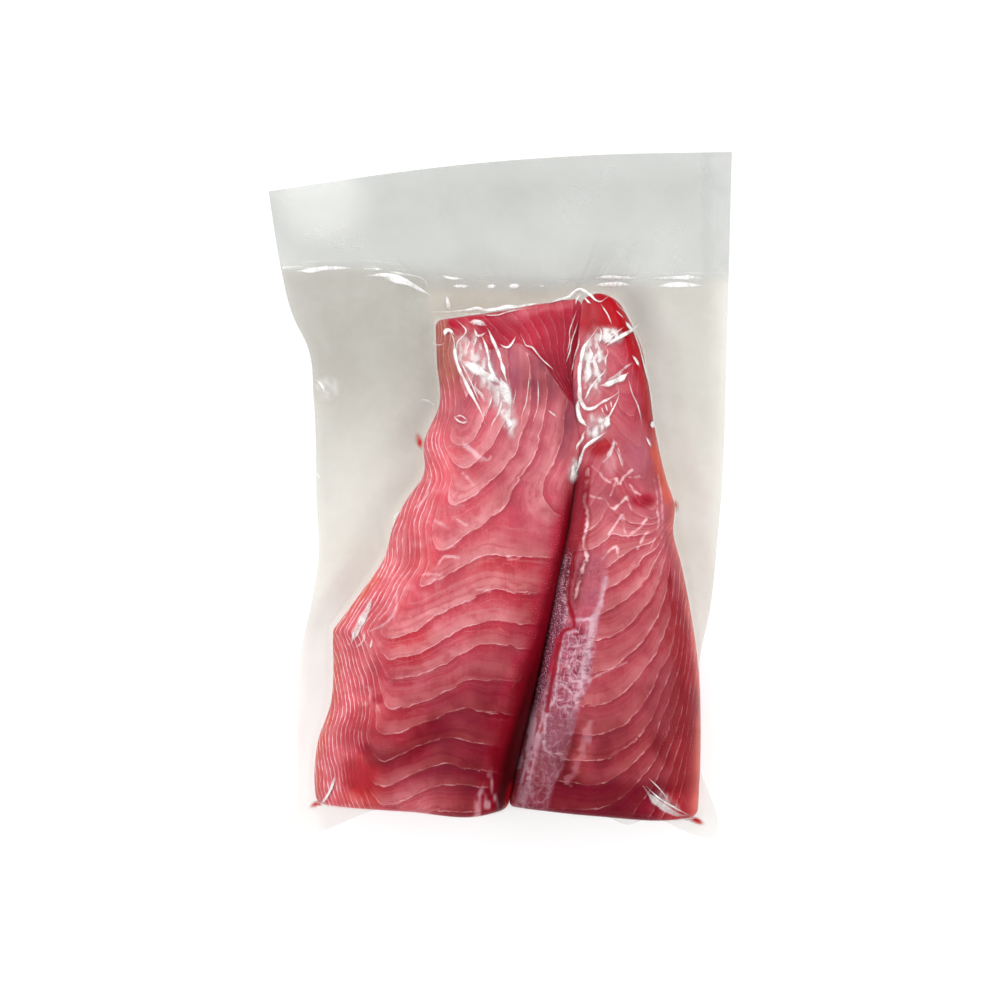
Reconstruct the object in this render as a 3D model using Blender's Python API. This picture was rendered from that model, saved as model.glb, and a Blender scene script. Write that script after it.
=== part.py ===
# A raw tuna loin in two long pieces, drawn down tight in a 200 x 300 mm vacuum pouch.
# The pack lies flat with its shown side up: +X across the pouch, +Y towards its unsealed header,
# +Z up. The origin is at the middle of the box that holds it, on the face that it rests on.
# Plan sizes are in millimetres and become metres when a mesh is made.
import math

import bmesh
import bpy
import numpy as np

MM = 0.001
SHARP_EDGE = math.radians(50)

# Film: both plies of the pouch count as one sheet
FILM_THICK = 0.5
SEAL_WIDTH = 3.4
SEAL_RAISE = 0.4
SEAL_BEVEL = 0.5
COLUMNS = 28
BODY_ROWS = 27
HEADER_ROWS = 7

# Outline of the pouch as it lies, drawn in by the vacuum: (y, x) along its sides, (x, y) across
POUCH_LEFT = [(-150.0, -93.0), (-142.0, -93.9), (-133.0, -89.0), (-121.0, -88.2), (-96.0, -88.6),
              (-67.0, -86.8), (-44.0, -81.8), (-26.0, -78.9), (0.0, -79.8), (42.0, -80.9),
              (66.0, -83.4), (78.0, -89.2), (99.0, -94.8), (132.0, -99.8)]
POUCH_RIGHT = [(-148.5, 94.0), (-141.0, 94.4), (-128.0, 90.5), (-116.0, 85.6), (-92.0, 84.2),
               (-68.0, 86.2), (-50.0, 90.2), (-20.0, 93.4), (22.0, 96.4), (62.0, 97.6),
               (95.0, 98.4), (150.0, 99.8)]
POUCH_FOOT = [(-93.0, -150.0), (-67.0, -139.6), (-54.0, -134.0), (-32.0, -129.4), (0.0, -127.6),
              (28.0, -129.6), (42.0, -135.6), (55.0, -141.2), (67.0, -137.6), (78.0, -143.2),
              (94.0, -148.5)]
POUCH_TOP = [(-99.8, 132.0), (-70.0, 136.9), (-8.0, 145.2), (36.0, 148.4), (99.8, 150.0)]
SEAL_LINE = [(-94.8, 99.0), (-60.0, 100.2), (-26.0, 96.6), (10.0, 93.4), (60.0, 94.2),
             (98.4, 95.0)]

# How the free film stands off the table round the loin
FLANGE_LIFT = 3.0
FLANGE_START = 4.0
FLANGE_REACH = 18.0
HEADER_RISE = 3.0
CORNER_CURL = 9.0
CURL_FROM_X = 15.0
SIDE_WAVE = 2.6
SIDE_WAVE_LENGTH = 92.0
LEFT_WAVE_TURN = 3.4
RIGHT_WAVE_TURN = 1.2
SIDE_BAND = 24.0
SHOULDER_LIFT = 7.0
SHOULDER_Y = 84.0
SHOULDER_LENGTH = 30.0

# The two pieces of loin: (y, x) along their sides, (x, y) across their cut ends
WIDE_LEFT = [(-134.0, -79.4), (-118.0, -80.4), (-104.0, -78.8), (-88.0, -73.4), (-72.0, -72.2),
             (-57.0, -72.0), (-41.0, -60.6), (-26.0, -50.6), (-10.0, -45.8), (0.0, -40.4),
             (10.0, -33.6), (24.0, -33.2), (42.0, -26.4), (58.0, -27.6), (79.0, -28.4)]
WIDE_FOOT = [(-80.0, -131.2), (-40.0, -133.0), (-8.0, -135.2), (3.0, -133.4)]
WIDE_HEAD = [(-28.4, 77.6), (0.0, 80.6), (24.0, 85.2), (38.0, 86.4)]
PARTING = [(-136.0, 2.0), (-110.0, 8.0), (-84.0, 14.0), (-57.0, 19.6), (-31.0, 24.8),
           (-10.0, 28.8), (10.0, 31.6), (23.0, 33.4), (36.0, 31.6), (50.0, 30.6),
           (66.0, 32.6), (90.0, 35.4)]
NARROW_RIGHT = [(-138.0, 84.6), (-121.0, 85.6), (-97.0, 86.0), (-74.0, 85.2), (-48.0, 81.6),
                (-28.0, 77.6), (-14.0, 74.2), (-3.0, 74.8), (8.0, 71.4), (30.0, 66.4),
                (51.0, 63.4), (66.0, 60.4), (78.0, 55.0), (90.0, 48.4)]
NARROW_FOOT = [(3.0, -132.0), (40.0, -135.2), (70.0, -137.2), (86.0, -136.8)]
NARROW_HEAD = [(33.0, 86.8), (40.0, 88.6), (48.0, 87.8), (55.0, 84.6)]

# Height of each crest along the piece: (y, z)
WIDE_CREST = [(-136.0, 35.0), (-112.0, 39.0), (-70.0, 38.0), (-20.0, 34.0), (26.0, 30.0),
              (52.0, 26.0), (70.0, 17.0), (88.0, 11.0)]
NARROW_CREST = [(-138.0, 32.0), (-110.0, 36.0), (-60.0, 35.0), (-10.0, 31.0), (40.0, 27.0),
                (70.0, 21.0), (90.0, 12.0)]

# Section of a piece: its waist, where it is widest, its tucked underside and its rounded ends
REST_GAP = 0.3
PARTING_GAP = 0.4
WAIST_SHARE = 0.3
WAIST_MOST = 10.0
TUCK = 6.0
TUCK_MOST = 0.3
TUCK_RISE = 0.3
UNDER_SHARES = (0.66, 0.33)
END_ROUND = 6.0
END_STEPS = 3
END_LEVEL = 0.42
END_MOST = 0.5

# Flakes: bands that overlap like shingles across each piece, and fine ridges along the outer flank
FLAKE_STEP = 0.6
FLAKE_GAP = 0.6
FLAKE_FALL = ((0.0, 1.0), (0.5, 0.45), (1.0, 0.0))
FLANK_RIDGE = 0.22
FLANK_SHARES = (0.30, 0.42)

# Bend of the flake lines in plan
WIDE_BEND_X = -8.0
WIDE_BEND_RADIUS = 59.0
WIDE_BEND_SLOPE = 0.14
NARROW_BEND_X = 32.0
NARROW_BEND_RADIUS = 24.0


def hermite(points):
    """A smooth function through hand-set (position, value) pairs, with central slopes."""
    at, value = np.array(points, float).T
    slope = np.gradient(value, at)

    def curve(q):
        q = min(max(q, at[0]), at[-1])
        i = min(max(int(np.searchsorted(at, q)) - 1, 0), len(at) - 2)
        span = at[i + 1] - at[i]
        f = (q - at[i]) / span
        start = value[i] * (1 + 2 * f) * (1 - f) ** 2 + slope[i] * span * f * (1 - f) ** 2
        end = value[i + 1] * f * f * (3 - 2 * f) - slope[i + 1] * span * f * f * (1 - f)
        return float(start + end)

    return curve


def mix(a, b, share):
    return a + (b - a) * share


def ease(low, high, value):
    """0 below low, 1 above high, and smooth between them."""
    f = min(max((value - low) / (high - low), 0.0), 1.0)
    return f * f * (3 - 2 * f)


def dome(share, power):
    """A quarter of a superellipse: 0 at the edge and upright there, and 1 from share 1 on."""
    return (1 - (1 - min(max(share, 0.0), 1.0)) ** power) ** (1 / power)


pouch_left = hermite(POUCH_LEFT)
pouch_right = hermite(POUCH_RIGHT)
pouch_foot = hermite(POUCH_FOOT)
pouch_top = hermite(POUCH_TOP)
seal_line = hermite(SEAL_LINE)
wide_left = hermite(WIDE_LEFT)
wide_foot = hermite(WIDE_FOOT)
wide_head = hermite(WIDE_HEAD)
parting = hermite(PARTING)
narrow_right = hermite(NARROW_RIGHT)
narrow_foot = hermite(NARROW_FOOT)
narrow_head = hermite(NARROW_HEAD)


def wide_right(y):
    return parting(y) - PARTING_GAP / 2


def narrow_left(y):
    return parting(y) + PARTING_GAP / 2


def wide_bend(x):
    """How far a flake line of the wide piece lies below its crest: an arc to the left, straight to the right."""
    left = max(WIDE_BEND_X - x, 0.0)
    right = max(x - WIDE_BEND_X, 0.0)
    return left**2 / (2 * WIDE_BEND_RADIUS) + WIDE_BEND_SLOPE * right


def narrow_bend(x):
    """A flake line of the narrow piece climbs ever more steeply to the right."""
    return -(max(x - NARROW_BEND_X, 0.0) ** 2) / (2 * NARROW_BEND_RADIUS)


class Loin:
    """One piece of loin: rings that run round it along its flake lines, from its foot to its head."""

    def __init__(self, left, right, foot, head, crest, bend, left_edge, right_edge, flakes, columns):
        self.left, self.right, self.foot, self.head = left, right, foot, head
        self.crest, self.bend = hermite(crest), bend
        self.left_edge, self.right_edge = left_edge, right_edge
        self.flakes = flakes
        self.across = [0.5 - 0.5 * math.cos(math.pi * i / (columns - 1)) for i in range(columns)]
        middle_x = mix(left(0.0), right(0.0), 0.5)
        self.length = head(middle_x) - foot(middle_x)

    def place(self, s, v):
        """Plan position at share s across and v along. The flake lines straighten towards the cut ends."""
        middle_x = mix(self.left(0.0), self.right(0.0), s)
        low, high = self.foot(middle_x), self.head(middle_x)
        straight = mix(low, high, v)
        x = mix(self.left(straight), self.right(straight), s)
        y = straight - self.bend(x) * math.sin(math.pi * v)
        y = min(max(y, low), high)
        return mix(self.left(y), self.right(y), s), y

    def profile(self, s):
        """Height across the piece, from 0 at its waist to 1 on its crest."""
        left_share, left_power = self.left_edge
        right_share, right_power = self.right_edge
        return dome(s / left_share, left_power) * dome((1 - s) / right_share, right_power)

    def waist(self, y):
        return min(self.crest(y) * WAIST_SHARE, WAIST_MOST)

    def ring(self, v, relief, shrink):
        """Points round the piece at share v along, drawn in by shrink, 0 to 1, at a rounded end."""
        low = FILM_THICK + REST_GAP
        points = []
        for i, s in enumerate(self.across):
            x, y = self.place(s, v)
            waist = self.waist(y)
            ridge = FLANK_RIDGE if i % 2 else -FLANK_RIDGE
            ridge *= (1 - ease(*FLANK_SHARES, s)) * (1 if i else 0)
            rise = self.profile(s)
            z = mix(waist, self.crest(y), rise) + (relief * rise + ridge) * (1 - shrink)
            points.append((x, y, z))
        for s, side in ((1.0, -1), (0.0, 1)):
            x, y = self.place(s, v)
            level = mix(low, self.waist(y), TUCK_RISE)
            inward = side * min(TUCK, TUCK_MOST * (self.right(y) - self.left(y)))
            tucked = [(x + inward * TUCK_RISE, y, level), (x + inward, y, low)]
            if side < 0:
                points += tucked + [(*self.place(u, v), low) for u in UNDER_SHARES]
            else:
                points += reversed(tucked)
        middle_x, middle_y = self.place(0.5, v)
        middle_z = END_LEVEL * self.crest(middle_y)
        drawn = []
        for x, y, z in points:
            half = max(abs((self.right(y) if x > middle_x else self.left(y)) - middle_x), 2 * END_ROUND)
            x = mix(middle_x, x, 1 - shrink * END_ROUND / half)
            z = mix(middle_z, z, 1 - shrink * min(END_ROUND / middle_z, END_MOST))
            drawn.append((x, y, max(z, low)))
        return drawn

    def rings(self):
        """All rings in order: the rounded foot, three for each flake, and the rounded head."""
        margin = END_ROUND / self.length
        gap = FLAKE_GAP / self.length
        ends = []
        for step in range(END_STEPS):
            turn = math.pi / 2 * step / END_STEPS
            ends.append((margin * (1 - math.cos(turn)), 1 - math.sin(turn)))
        found = [self.ring(v, 0.0, shrink) for v, shrink in ends]
        pitch = (1 - 2 * margin) / self.flakes
        for flake in range(self.flakes):
            start = margin + flake * pitch + gap / 2
            for share, height in FLAKE_FALL:
                found.append(self.ring(start + (pitch - gap) * share, FLAKE_STEP * height, 0.0))
        found += [self.ring(1 - v, 0.0, shrink) for v, shrink in reversed(ends)]
        return found


def wide_loin():
    return Loin(wide_left, wide_right, wide_foot, wide_head, WIDE_CREST, wide_bend,
                left_edge=(0.46, 1.9), right_edge=(0.12, 1.8), flakes=15, columns=23)


def narrow_loin():
    return Loin(narrow_left, narrow_right, narrow_foot, narrow_head, NARROW_CREST, narrow_bend,
                left_edge=(0.36, 1.5), right_edge=(0.30, 2.1), flakes=14, columns=19)


def outside_loin(x, y):
    """How far a point of the plan lies outside the two pieces together, and below 0 inside them."""
    return max(wide_left(y) - x, x - narrow_right(y), wide_foot(x) - y, y - max(wide_head(x), narrow_head(x)))


def sheet_height(x, y):
    """Height of the underside of the pouch over the table."""
    free = ease(FLANGE_START, FLANGE_REACH, outside_loin(x, y))
    header = ease(seal_line(x), pouch_top(x), y)
    corner = 1 - ease(POUCH_TOP[0][0], CURL_FROM_X, x)
    side = 1 - ease(0.0, SIDE_BAND, min(x - pouch_left(y), pouch_right(y) - x))
    turn = math.tau * y / SIDE_WAVE_LENGTH + (RIGHT_WAVE_TURN if x > 0 else LEFT_WAVE_TURN)
    edge = SIDE_WAVE * (1 + math.sin(turn)) / 2
    if x < 0:
        edge += SHOULDER_LIFT * math.exp(-(((y - SHOULDER_Y) / SHOULDER_LENGTH) ** 2))
    return free * (FLANGE_LIFT + edge * side) + header * (HEADER_RISE + CORNER_CURL * corner)


def patch_point(low_points, low, high_points, high, s, t):
    """A point of the plan at share s across and t along, between two curves that cross the pouch."""
    low_y = low(mix(low_points[0][0], low_points[-1][0], s))
    high_y = high(mix(high_points[0][0], high_points[-1][0], s))
    left_y = mix(low_points[0][1], high_points[0][1], t)
    right_y = mix(low_points[-1][1], high_points[-1][1], t)
    return mix(pouch_left(left_y), pouch_right(right_y), s), mix(low_y, high_y, t)


def pouch_rows():
    """Rows of (x, y, thickness) from the foot of the pouch to its top, with the heat seal raised."""
    shares = [c / COLUMNS for c in range(COLUMNS + 1)]
    rows = []
    for r in range(BODY_ROWS):
        row = [patch_point(POUCH_FOOT, pouch_foot, SEAL_LINE, seal_line, s, r / BODY_ROWS) for s in shares]
        rows.append([(x, y, FILM_THICK) for x, y in row])
    length = POUCH_TOP[-1][1] - SEAL_LINE[-1][1]
    header = [(0.0, 0.0), (SEAL_BEVEL, SEAL_RAISE), (SEAL_WIDTH - SEAL_BEVEL, SEAL_RAISE)]
    header += [(mix(SEAL_WIDTH, length, r / HEADER_ROWS), 0.0) for r in range(HEADER_ROWS + 1)]
    for along, extra in header:
        row = [patch_point(SEAL_LINE, seal_line, POUCH_TOP, pouch_top, s, along / length) for s in shares]
        rows.append([(x, y, FILM_THICK + extra) for x, y in row])
    return rows


def join_rows(edit, low, high, closed=False):
    """Quads between two rows of vertices, round them where they are closed."""
    for i in range(len(low) if closed else len(low) - 1):
        j = (i + 1) % len(low)
        edit.faces.new((low[i], low[j], high[j], high[i]))


def finish(name, edit, colour, roughness, alpha=1.0):
    """An object with that mesh, turned to metres, and with its own material."""
    bmesh.ops.scale(edit, vec=(MM, MM, MM), verts=edit.verts)
    bmesh.ops.recalc_face_normals(edit, faces=edit.faces)
    mesh = bpy.data.meshes.new(name)
    edit.to_mesh(mesh)
    edit.free()
    mesh.shade_smooth()
    mesh.set_sharp_from_angle(angle=SHARP_EDGE)
    material = bpy.data.materials.new(name)
    material.use_nodes = True
    shader = material.node_tree.nodes["Principled BSDF"]
    shader.inputs["Base Color"].default_value = (*colour, 1.0)
    shader.inputs["Roughness"].default_value = roughness
    shader.inputs["Metallic"].default_value = 0.0
    shader.inputs["Alpha"].default_value = alpha
    mesh.materials.append(material)
    bpy.context.scene.collection.objects.link(bpy.data.objects.new(name, mesh))


def add_loin(name, loin, colour):
    """Skins the rings of one piece and closes both cut ends."""
    edit = bmesh.new()
    rows = [[edit.verts.new(point) for point in ring] for ring in loin.rings()]
    for low, high in zip(rows, rows[1:]):
        join_rows(edit, low, high, closed=True)
    edit.faces.new(rows[0])
    edit.faces.new(rows[-1])
    finish(name, edit, colour, roughness=0.25)


def add_pouch():
    """The film as one closed sheet: flat under the loin, standing off the table round it."""
    edit = bmesh.new()
    under, over = [], []
    for row in pouch_rows():
        levels = [sheet_height(x, y) for x, y, _ in row]
        under.append([edit.verts.new((x, y, z)) for (x, y, _), z in zip(row, levels)])
        over.append([edit.verts.new((x, y, z + thick)) for (x, y, thick), z in zip(row, levels)])
    for sheet in (under, over):
        for low, high in zip(sheet, sheet[1:]):
            join_rows(edit, low, high)
    for end in (0, -1):
        join_rows(edit, under[end], over[end])
        join_rows(edit, [row[end] for row in under], [row[end] for row in over])
    finish("pouch", edit, colour=(0.72, 0.73, 0.70), roughness=0.2, alpha=0.4)


for old in list(bpy.data.objects):
    bpy.data.objects.remove(old)

add_pouch()
add_loin("loin_wide", wide_loin(), colour=(0.56, 0.055, 0.075))
add_loin("loin_narrow", narrow_loin(), colour=(0.50, 0.045, 0.065))
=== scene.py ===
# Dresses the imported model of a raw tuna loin: two pieces of fish side by side in a clear vacuum pouch.
# The pack lies flat, +X across it, +Y towards its unsealed header, +Z up. Plan sizes are in millimetres
# and become metres when a mesh is made.
import math

import bpy
import numpy as np
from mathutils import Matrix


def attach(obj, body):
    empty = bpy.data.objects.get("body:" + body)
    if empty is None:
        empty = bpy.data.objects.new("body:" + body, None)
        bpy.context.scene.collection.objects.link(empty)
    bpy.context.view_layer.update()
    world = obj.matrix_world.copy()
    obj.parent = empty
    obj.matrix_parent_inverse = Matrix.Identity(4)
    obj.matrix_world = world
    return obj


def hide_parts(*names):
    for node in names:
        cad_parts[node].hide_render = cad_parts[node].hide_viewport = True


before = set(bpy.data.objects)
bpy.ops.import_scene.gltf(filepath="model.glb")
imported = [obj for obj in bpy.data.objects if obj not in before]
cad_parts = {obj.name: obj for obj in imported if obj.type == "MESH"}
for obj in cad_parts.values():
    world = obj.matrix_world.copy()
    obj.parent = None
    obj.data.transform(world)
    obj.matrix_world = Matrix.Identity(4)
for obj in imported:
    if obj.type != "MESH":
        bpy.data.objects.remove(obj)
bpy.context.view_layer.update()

bl_info = {
    "name": "Vacuum-packed raw tuna loin",
    "version": (1, 0, 0),
    "blender": (4, 5, 0),
    "location": "3D Viewport > Sidebar > Tuna Pack",
    "description": "Builds the fish, the film and the stage of a vacuum-packed raw tuna loin",
    "category": "Object",
}

MM = 0.001

# Height of the camera, and the height at which its picture is to scale, in millimetres
VIEW_HEIGHT = 1600.0
VIEW_PLANE = 10.0
# Middle of the picture, and the height from which rays look down for the film, in metres
PICTURE_MIDDLE = (-0.00043, -0.00043)
RAY_START = 0.2
# Width of the camera's sensor, in millimetres
SENSOR = 36.0

# Outline of the pouch as it lies: (y, x) along its sides, (x, y) across
POUCH_LEFT = [(-150, -93), (-142, -93.9), (-133, -89), (-121, -88.2), (-96, -88.6), (-67, -86.8),
              (-44, -81.8), (-26, -78.9), (0, -79.8), (42, -80.9), (66, -83.4), (78, -89.2),
              (99, -94.8), (132, -99.8)]
POUCH_RIGHT = [(-148.5, 94), (-141, 94.4), (-128, 90.5), (-116, 85.6), (-92, 84.2), (-68, 86.2),
               (-50, 90.2), (-20, 93.4), (22, 96.4), (62, 97.6), (95, 98.4), (150, 99.8)]
POUCH_FOOT = [(-93, -150), (-67, -139.6), (-54, -134), (-32, -129.4), (0, -127.6), (28, -129.6),
              (42, -135.6), (55, -141.2), (67, -137.6), (78, -143.2), (94, -148.5)]
POUCH_TOP = [(-99.8, 132), (-70, 136.9), (-8, 145.2), (36, 148.4), (99.8, 150)]
SEAL_LINE = [(-94.8, 99), (-60, 100.2), (-26, 96.6), (10, 93.4), (60, 94.2), (98.4, 95)]

# How the free film stands off the table round the loin
FLANGE_LIFT = 3.0
FLANGE_START = 4.0
FLANGE_REACH = 18.0
HEADER_RISE = 3.0
CORNER_CURL = 9.0
CURL_FROM_X = 15.0
SIDE_WAVE = 2.6
SIDE_WAVE_LENGTH = 92.0
LEFT_WAVE_TURN = 3.4
RIGHT_WAVE_TURN = 1.2
SIDE_BAND = 24.0
SHOULDER_LIFT = 7.0
SHOULDER_Y = 84.0
SHOULDER_LENGTH = 30.0

# Outlines of the two pieces of loin: (y, x) along their sides, (x, y) across their cut ends
WIDE_LEFT = [(-134, -79.4), (-118, -80.4), (-104, -78.8), (-88, -73.4), (-72, -72.2), (-60, -72.4),
             (-56, -72), (-53.6, -70.2), (-41, -60.8), (-26, -50.6), (-10, -45.8), (0, -40.4),
             (10, -33.6), (24, -33.2), (42, -26.4), (58, -27.6), (79, -28.4)]
WIDE_FOOT = [(-80, -131.2), (-40, -133), (-8, -135.2), (3, -133.4)]
WIDE_HEAD = [(-28.4, 77.6), (0, 80.6), (24, 85.2), (38, 86.4)]
PARTING = [(-136, 2), (-110, 8), (-84, 14), (-57, 19.6), (-31, 24.8), (-10, 28.8), (10, 31.6),
           (23, 33.4), (36, 31.6), (50, 30.6), (66, 32.6), (90, 35.4)]
NARROW_RIGHT = [(-138, 84.6), (-121, 85.6), (-97, 86), (-74, 85.2), (-48, 81.6), (-28, 77.6),
                (-14, 74.2), (-3, 74.8), (8, 71.4), (30, 66.4), (51, 63.4), (66, 60.4), (78, 55),
                (90, 48.4)]
NARROW_FOOT = [(3, -132), (40, -135.2), (70, -137.2), (86, -136.8)]
NARROW_HEAD = [(33, 86.8), (40, 88.6), (48, 87.8), (55, 84.6)]
BOTH_FOOT = WIDE_FOOT[:-1] + [(3, -133)] + NARROW_FOOT[1:]
BOTH_HEAD = WIDE_HEAD[:-1] + NARROW_HEAD

# Height of each crest along the piece: (y, z)
WIDE_CREST = [(-136, 35), (-112, 39), (-70, 38), (-20, 34), (26, 30), (52, 26), (70, 17), (88, 11)]
NARROW_CREST = [(-138, 32), (-110, 36), (-60, 35), (-10, 31), (40, 27), (70, 21), (90, 12)]

# Section of a piece, as in the solid
LOIN_LOW = 0.8
PARTING_GAP = 0.04
WAIST_SHARE = 0.3
WAIST_MOST = 10.0
TUCK = 6.0
TUCK_MOST = 0.3
END_ROUND = 3.4
END_LEVEL = 0.42
END_MOST = 0.5

# Flake lines of the wide piece: (how far along its crest, number of the line)
WIDE_FLAKES = [(-640, -60), (-134, -9.2), (-121, -8), (-113, -7), (-102, -6), (-89, -5), (-77, -4),
               (-62, -3), (-51, -2), (-38, -1), (-23, 0), (-12, 1), (-3, 2), (8, 3), (18, 4), (26, 5),
               (90, 13)]
WIDE_CREST_X = [(-113, -25), (-101, -20), (-88, -14), (-75, -11), (-60, -5), (-22, -2), (0, -2)]
WIDE_FALL = [(-125, 0.55), (-100, 0.6), (-75, 0.68), (0, 0.72)]
WIDE_FLANK = [(-134, 26), (-60, 22), (-26, 20), (20, 11), (60, 9)]
NARROW_FLAKES = [(-180, -14.4), (-132, -10), (-121, -9), (-111.5, -8), (-101, -7), (-88, -6), (-74, -5),
                 (-61, -4), (-49.5, -3), (-40, -2), (-30, -1), (-20, 0), (60, 8), (140, 16)]

# Where the wide piece's top ends in a lip and its cut tail slopes down: (x, y)
WIDE_LIP = [(-30, 73), (-18, 70), (-11.2, 66.5), (-4.7, 63.8), (1.7, 65.5), (8.2, 66.4), (12.5, 63.4),
            (19, 56.5), (25.4, 47), (34, 36)]

# White tissue on the narrow piece: the middle of its outer band (y, x), then (x, y) for the red vein
# in it, the row of white beads and a strand outside the band
TISSUE_EDGE = [(-137, 17.5), (-125.4, 20.8), (-112.5, 26), (-99.6, 29.7), (-86.6, 32.8), (-78, 36.2),
               (-60.8, 39.2), (-47.8, 41.4), (-34.9, 44), (-19.8, 46.1)]
VEIN = [(31.1, -23.1), (30, -31.2), (28.8, -42.8), (30.8, -50.8), (30.6, -54.5), (26.5, -56.6),
        (24.2, -64.7), (22.5, -73.9), (20.9, -82), (19.6, -90.1)]
BEAD = [(37, 12.5), (36.4, 5), (35.6, -1), (37.2, -8), (36, -13.5), (35.4, -20.5), (36.6, -24.5),
        (34.6, -30), (31.6, -42)]
STRAND = [(37.5, -96), (36, -103), (33.5, -110), (30.2, -116.5), (27.6, -120.5)]

# Dark band across the wide piece near its foot, painted as the shade of a shallow hollow: (x, y)
HOLLOW_SHADE = [(-57, -106), (-52.5, -110), (-46, -110.5), (-40, -107.5), (-33, -102), (-26, -96)]

# Pale frayed edges on the narrow piece: half width, strength, then x and y of each point of the path
FRAYS = [
    (0.36, 0.805, 55.8, 12.2, 53.3, 10.4, 51.5, 8.3, 50.9, 6.5),
    (0.225, 0.575, 54.5, 9.2, 58.8, 9.4),
    (0.315, 0.69, 54.7, 6.5, 56.8, 3.3, 59.3, 2),
    (0.225, 0.69, 46.5, 8.2, 49.2, 8.7, 49.7, 6.5),
    (0.225, 0.69, 49.2, 8.7, 47.9, 4.7, 46.7, 1.5),
    (0.45, 0.8625, 53.4, 0.6, 51.1, -1.4, 48.3, -4.2),
    (0.315, 0.69, 54.5, -2.2, 55.6, -4.7),
    (0.27, 0.575, 51.3, -7.1, 51.8, -9.6, 52.5, -13.1, 53.6, -15.8),
    (0.45, 0.92, 53.6, -16.2, 56.1, -14.2, 59, -12.1, 60.2, -10.6, 61.8, -8.7),
    (0.225, 0.575, 66.5, -5.6, 67.2, -9.2, 66.5, -14.2, 64.7, -18.5, 62.6, -23.2),
    (0.315, 0.69, 49, -19.9, 46.5, -21.4, 44, -23.9),
    (0.27, 0.69, 38.2, 1.3, 44.1, -0.2, 46.6, -3.6, 49.1, -3.6, 53, 0.3, 54, -0.7),
    (0.225, 0.575, 38.2, 14.1, 41.7, 11.6, 43.7, 8.7, 46.6, 7.2),
    (0.18, 0.69, 43.7, 16.1, 46.6, 19, 48.6, 24.4, 50.6, 19, 52, 14.1),
    (0.36, 0.92, 45.6, -15, 48.6, -11, 51.8, -6.6, 52.8, -10.5),
    (0.315, 0.92, 43.2, -25.3, 46.6, -21.4, 49.1, -20.4, 49.6, -24.3),
    (0.225, 0.805, 57.9, -21.4, 60.4, -16.4, 62.4, -14),
    (0.18, 0.345, 67.2, 10.2, 68.4, 1.3, 68.9, -9.5, 68.4, -16.4),
    (0.18, 0.345, 65.6, 8, 66.6, 1, 66.4, -6),
    (0.27, 0.575, 36.7, -77.6, 40.4, -75.1, 47.3, -71.9, 53.3, -69.3),
]

# The same on the wide piece
WIDE_FRAYS = [
    (1.3, 0.75, -15, 22.5, -11.6, 19.8, -8.5, 17),
    (0.3, 0.6, -16.8, 24.2, -11.6, 20.4, -6, 16.5, -4.5, 18),
    (0.4, 0.6, -16.3, 11, -13.6, 8.3, -11.6, 5.6),
    (0.45, 0.6, -27.9, -9.3, -25.2, -10.7, -22.4, -12.7),
    (0.3, 0.5, -19.7, -8, -14.3, -11.3),
    (0.4, 0.75, -27.9, -29.6, -25.2, -25.6, -22.4, -24.2, -17.7, -24.9),
    (0.35, 0.6, -33.3, -32.3, -30.6, -31.7, -25.2, -32.3),
    (0.3, 0.6, -30.6, 8.3, -31.3, 2.9, -32.6, 0.2, -36, -3.9),
    (0.3, 0.6, -44.1, -39.1, -44.8, -47.3, -48.9, -52.7, -55.6, -56.1),
    (0.35, 0.7, -10.3, -38.4, -7.5, -38.2, -4.8, -39.1),
    (0.25, 0.6, 1.9, -22.9, 4, -25.6, 8.2, -24.9),
    (0.5, 0.3, -60, -74.9, -58.1, -79.6, -55.4, -80.5, -56.3, -86, -59.1, -87.9),
    (0.3, 0.5, -53.1, -86.9, -51.2, -90.6),
]

# White strands in the tissue, given in the same way
STRANDS = [
    (0.5, 0.8, 44.6, -33.5, 43.7, -39.2, 42.6, -44),
    (1.6, 0.8, 42.2, -45.3, 40.5, -48.5, 38.8, -51.5, 37.9, -58.2, 36.2, -64.2, 35.3, -69.4,
     34.9, -74.6, 33.2, -79.7, 32.3, -85.8),
    (0.6, 0.85, 31, -50.9, 36.2, -51.3, 39.7, -49.1),
    (0.5, 0.8, 29.3, -62.8, 33.2, -62.4, 36.2, -61.5),
    (0.4, 0.8, 30.6, -66.4, 28.9, -72, 30.2, -77.1, 34, -76.7, 35.3, -71.1),
    (0.45, 0.7, 25, -77.1, 27.4, -80, 30.8, -83.1, 32.6, -83.8),
    (0.5, 0.75, 26.7, -58.2, 25.9, -64.2, 24.6, -69.4, 23.7, -77.1, 22.8, -84.9, 19.8, -90.5,
     18.8, -97.4, 18.3, -105.2, 20.3, -107.8, 26.3, -108.4),
    (0.8, 0.6, 28, -24.3, 26.6, -33, 25.9, -39.2, 28, -46.1, 26.9, -52.3),
]

# Dark cells between those strands: x, y, half width, half length
CELLS = [
    (33.2, -56.6, 2.8, 4.2), (29.7, -66.6, 1.1, 2.4), (33.4, -67.5, 1.1, 2.6), (31.6, -73, 1.3, 2.6),
    (26.8, -73, 1.1, 2.8), (26, -81.6, 1.1, 2), (29.4, -79.8, 1, 1.6), (27.6, -86, 1.2, 2.2),
    (30.6, -87.4, 1.1, 2), (24, -88.5, 1.1, 2.4), (27.4, -92.5, 1.3, 2),
]
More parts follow.
